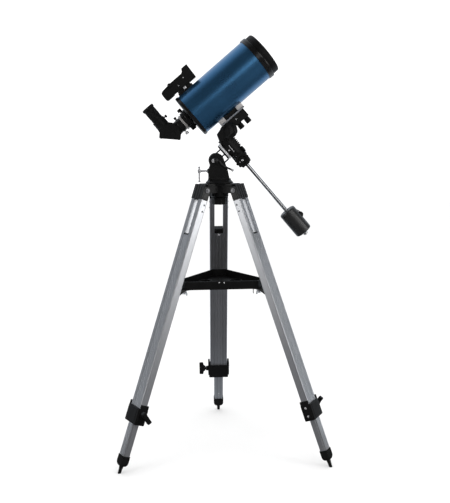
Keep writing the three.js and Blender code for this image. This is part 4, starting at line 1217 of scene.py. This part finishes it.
def thumb_screw(radius, reach, head, ribs=16):
    """A small thumbscrew about Z, from its foot at 0 up to its head."""
    stem = pin(1.6, 0, reach + 0.5, 0.2, FINE)
    grip = turned([(0, reach), (radius - 0.7, reach), (radius - 0.2, reach + 0.5),
        (radius - 0.2, reach + head - 0.5), (radius - 0.8, reach + head), (0, reach + head + 0.3)], FINE)
    foot, top = reach + 0.6, reach + head - 0.6
    teeth = [turned_by(box(radius - 0.5, radius, -0.25, 0.25, foot, top, 0.12), 360 / ribs * k, "Z")
        for k in range(ribs)]
    return joined(stem, grip, *teeth)


def diagonal_shape():
    """A right-angle body with a slanting mirror cover, a nose and an eyepiece holder."""
    x, z = EYEPIECE_X, TUBE_AXIS
    side = [(x - 27.8, z + 11.6), (x + 11.6, z - 27.8), (x + 21.5, z - 17.9), (x + 25, z - 17.9),
        (x + 25, z + 18.2), (x + 17.4, z + 26), (x - 17.4, z + 26), (x - 17.9, z + 21.5)]
    body = plate(side, -18.5, 18.5, 1.4)
    cheek = [(x - 12, z - 4), (x + 8, z - 16), (x + 16, z - 8), (x + 14, z + 14), (x - 10, z + 14)]
    cheeks = [plate(cheek, y - 0.7, y + 0.7, 0.5) for y in (-18.5, 18.5)]
    nose = along_x(turned([(0, x + 20), (17.5, x + 20), (17.5, -17), (17, -16.3), (15.2, -16.3),
        (15.2, -3), (14.7, -2.4), (14.7, 4), (15.2, 4.6), (15.2, 13.4), (14.6, 14), (0, 14)], ROUND), z=z)
    holder = moved(turned([(0, z + 20), (18, z + 20), (18, z + 27), (17.4, z + 28), (17.4, z + 38),
        (16.9, z + 38.5), (16.9, z + 40), (17.4, z + 40.5), (17.4, z + 48.2), (16.8, z + 48.9),
        (0, z + 48.9)], ROUND), x)
    light = along_x(pin(13, x, 20, 0.1), z=z)
    well = moved(pin(14.2, z, z + 60, 0.1), x)
    return without(united(body, *cheeks, nose, holder), light, well)


def diagonal_cover_shape():
    """The plate over the diagonal's mirror, held by four screws."""
    cover = box(-27, 27, -17.5, 17.5, -1.1, 0.9, 0.7)
    heads = [moved(turned_by(screw_head(1.7, 0, 0.9), 180, "X"), x, y, -1.0)
        for x in (-23, 23) for y in (-13, 13)]
    tilted = turned_by(joined(cover, *heads), 45, "Y")
    return moved(tilted, EYEPIECE_X - 8.1, 0, TUBE_AXIS - 8.1)


def diagonal_mirror_shape():
    flat = turned_by(box(-17, 17, -12.5, 12.5, -1.5, 1.5, 0.4), 45, "Y")
    return moved(flat, EYEPIECE_X - 1.2, 0, TUBE_AXIS - 1.2)


def eyepiece_shape():
    """The eyepiece: a barrel in the holder, a ribbed body and a rubber cup."""
    z = EYEPIECE_FOOT
    barrel = turned([(0, z - 22), (13.2, z - 22), (13.7, z - 21.4), (13.7, z + 0.3), (14.6, z + 0.3),
        (15, z + 1), (15, z + 8), (14.6, z + 8.4), (14.6, z + 9.4), (15, z + 9.8), (15, z + 12),
        (0, z + 12)], ROUND)
    grip = rounded(prism(lobed(15.2, 0.5, 40, 6), z + 12, z + 27), 0.3, 1, 60)
    top = turned([(0, z + 27), (15, z + 27), (15, z + 33), (14.4, z + 33.6), (0, z + 33.6)], ROUND)
    return moved(joined(barrel, grip, top), EYEPIECE_X)


def eyecup_shape():
    z = EYEPIECE_FOOT
    cup = turned([(9.2, z + 33.7), (14.8, z + 33.7), (16, z + 34.6), (17, z + 36), (17, z + 40.6),
        (16.6, z + 41.6), (15.6, z + 42), (12, z + 41.9), (10.6, z + 41.2), (9.6, z + 39.6)], ROUND)
    return moved(cup, EYEPIECE_X)


def eye_lens_shape():
    z = EYEPIECE_FOOT
    lens = turned([(0, z + 33.8), (9, z + 33.8), (9, z + 36), (6.5, z + 37.2), (3.4, z + 37.9),
        (0, z + 38.2)])
    return moved(lens, EYEPIECE_X)


def finder_base_shape():
    base = box(36.5, 82, -12, 12, 184, 192.8, 1.2)
    shoe = plate([(38, 192), (80, 192), (78.5, 198.4), (39.5, 198.4)], -10, 10, 0.5)
    return without(united(base, shoe), tube_room(58.8, 0))


def finder_shape():
    """A red dot finder: a battery end, open walls along the sight line and an upright hood."""
    side = [(7.4, 197), (12, 196.8), (27, 196.8), (28.6, 197.2), (30, 198.6), (79.5, 198.6), (80.5, 196.8),
        (100.4, 196.8), (101, 197.6), (102.6, 235.8), (101.4, 237), (86, 237), (84.4, 236), (82.6, 232),
        (79.6, 229), (76, 227.6), (38, 227.6), (12, 225.2), (7, 223.6), (4.2, 221), (3.4, 213), (3.4, 203),
        (4.4, 199.4)]
    body = plate(side, -14, 14, 1.2)
    channel = box(24, 110, -10, 10, 212, 231, 0)
    openings = [box(x0, x1, -10, 10, 212, 240, 0) for x0, x1 in ((24, 79.5), (88, 110))]
    panel = [(13, 202), (40, 202), (44, 207), (44, 218), (13, 216)]
    panels = [plate(panel, y - 0.5, y + 0.5, 0.4) for y in (-14, 14)]
    dial = along_y(pin(5.4, 12, 16.2, 0.8), 34, 224.6)
    hood_rim = along_x(turned([(8.4, 86.5), (9.8, 86.5), (9.8, 88.8), (8.4, 88.8)]), 0, SIGHT_LINE)
    return united(without(body, channel, *openings), *panels, dial, hood_rim)


def finder_window_shape():
    disc = turned([(0, -0.8), (8.4, -0.8), (8.4, 0.8), (0, 0.8)])
    return moved(turned_by(disc, 80, "Y"), 87.6, 0, SIGHT_LINE)


def finder_trim():
    """Screws on the finder's side and the nut of its shoe."""
    screws = [along_y(screw_head(1.5, 13.9, 0.9), x, z) for x, z in ((52, 209), (74, 216.5))]
    nut = box(56.5, 64.5, -16.5, -11, 191, 197.4, 0.9)
    return joined(nut, *screws)


def add_telescope():
    body = "telescope"
    add_all(HEAD, [
        ("dec_head_casting", dec_head_shape(), "black_casting", body, "dec_head"),
        ("dec_axle_shaft", moved(axle_shape(6, -29, 46), DEC_X), "bright_metal", body, "dec_axle"),
        ("saddle_casting", saddle_shape(), "black_casting", body, "dovetail_saddle"),
        ("saddle_screws", saddle_screw(), "bright_metal", body),
    ])
    for word, x in zip(("rear", "front"), SADDLE_KNOBS):
        knob = f"saddle_knob_{word}"
        piece(f"{knob}_grip", saddle_knob_shape(x), HEAD, "black_plastic", knob, [knob])
    back_lock = moved(thumb_screw(5.6, 5, 8), 11.5, 0, TUBE_AXIS + 21.5)
    upper_screw = moved(thumb_screw(3.6, 3, 6), -10.3, 0, TUBE_AXIS + 17)
    lower_screw = moved(turned_by(thumb_screw(4.6, 5, 7), 180, "X"), -10.3, 0, TUBE_AXIS - 17)
    holder_screw = moved(turned_by(thumb_screw(3.8, 3.2, 5.4), 90, "Y"), EYEPIECE_X + 16.4, 0,
        TUBE_AXIS + 43)
    add_all(HEAD, [
        ("dovetail_bar", dovetail_shape(), "silver_ring", body, "dovetail_rail"),
        ("rail_feet", rail_feet_shape(), "silver_ring", body),
        # a black block in the gap between the rail's feet: partly a dark part, partly painted shade in the
        # gap
        ("rail_gap_filler_and_shade", rail_gap_filler_and_shade_shape(), "black_casting", body),
        ("tube_shell", tube_shape(), "tube", body, "main_tube"),
        ("rear_cell_casting", rear_cell_shape(), "gloss_black", body, "rear_cell"),
        ("rear_cell_screws", rear_cell_screws(), "black_steel", body),
        ("front_ring_casting", front_ring_shape(), "gloss_black", body, "front_ring"),
        ("meniscus_lens", lens_shape(), "lens", body, "corrector_lens"),
        ("secondary_mirror_spot", secondary_spot(), "mirror", body),
        ("main_mirror", mirror_shape(), "mirror", "primary_mirror", "primary_mirror"),
        ("baffle", baffle_shape(), "black_plastic", "primary_mirror", "baffle_tube"),
        ("front_cap", dust_cap_shape(), "black_plastic", "dust_cap", "dust_cap"),
        ("focus_grip", focus_knob_shape(), "black_plastic", "focus_knob", "focus_knob"),
        ("visual_back_barrel", visual_back_shape(), "gloss_black", body, "visual_back"),
        ("thread_ring", thread_ring_shape(), "silver_ring", body),
        ("back_lock_screw", back_lock, "black_plastic", body),
        ("black_thumbscrew", upper_screw, "black_plastic", body),
        ("chrome_thumbscrew", lower_screw, "bright_metal", body),
        ("diagonal_body", diagonal_shape(), "black_plastic", "diagonal", "star_diagonal"),
        ("diagonal_cover", diagonal_cover_shape(), "gloss_black", "diagonal"),
        ("diagonal_flat", diagonal_mirror_shape(), "mirror", "diagonal", "diagonal_mirror"),
        ("holder_thumbscrew", holder_screw, "black_plastic", "diagonal"),
        ("eyepiece_body", eyepiece_shape(), "black_plastic", "eyepiece", "eyepiece"),
        ("eyecup", eyecup_shape(), "black_grip", "eyepiece"),
        ("eye_lens", eye_lens_shape(), "lens", "eyepiece"),
        ("finder_shoe", finder_base_shape(), "black_casting", body, "finder_base"),
        ("finder_body", finder_shape(), "black_plastic", body, "red_dot_finder"),
        ("finder_window", finder_window_shape(), "finder_glass", body),
        ("finder_screws", finder_trim(), "bright_metal", body),
    ])


make_camera()
make_floor()
make_light()
add_tripod()
add_mount()
add_telescope()
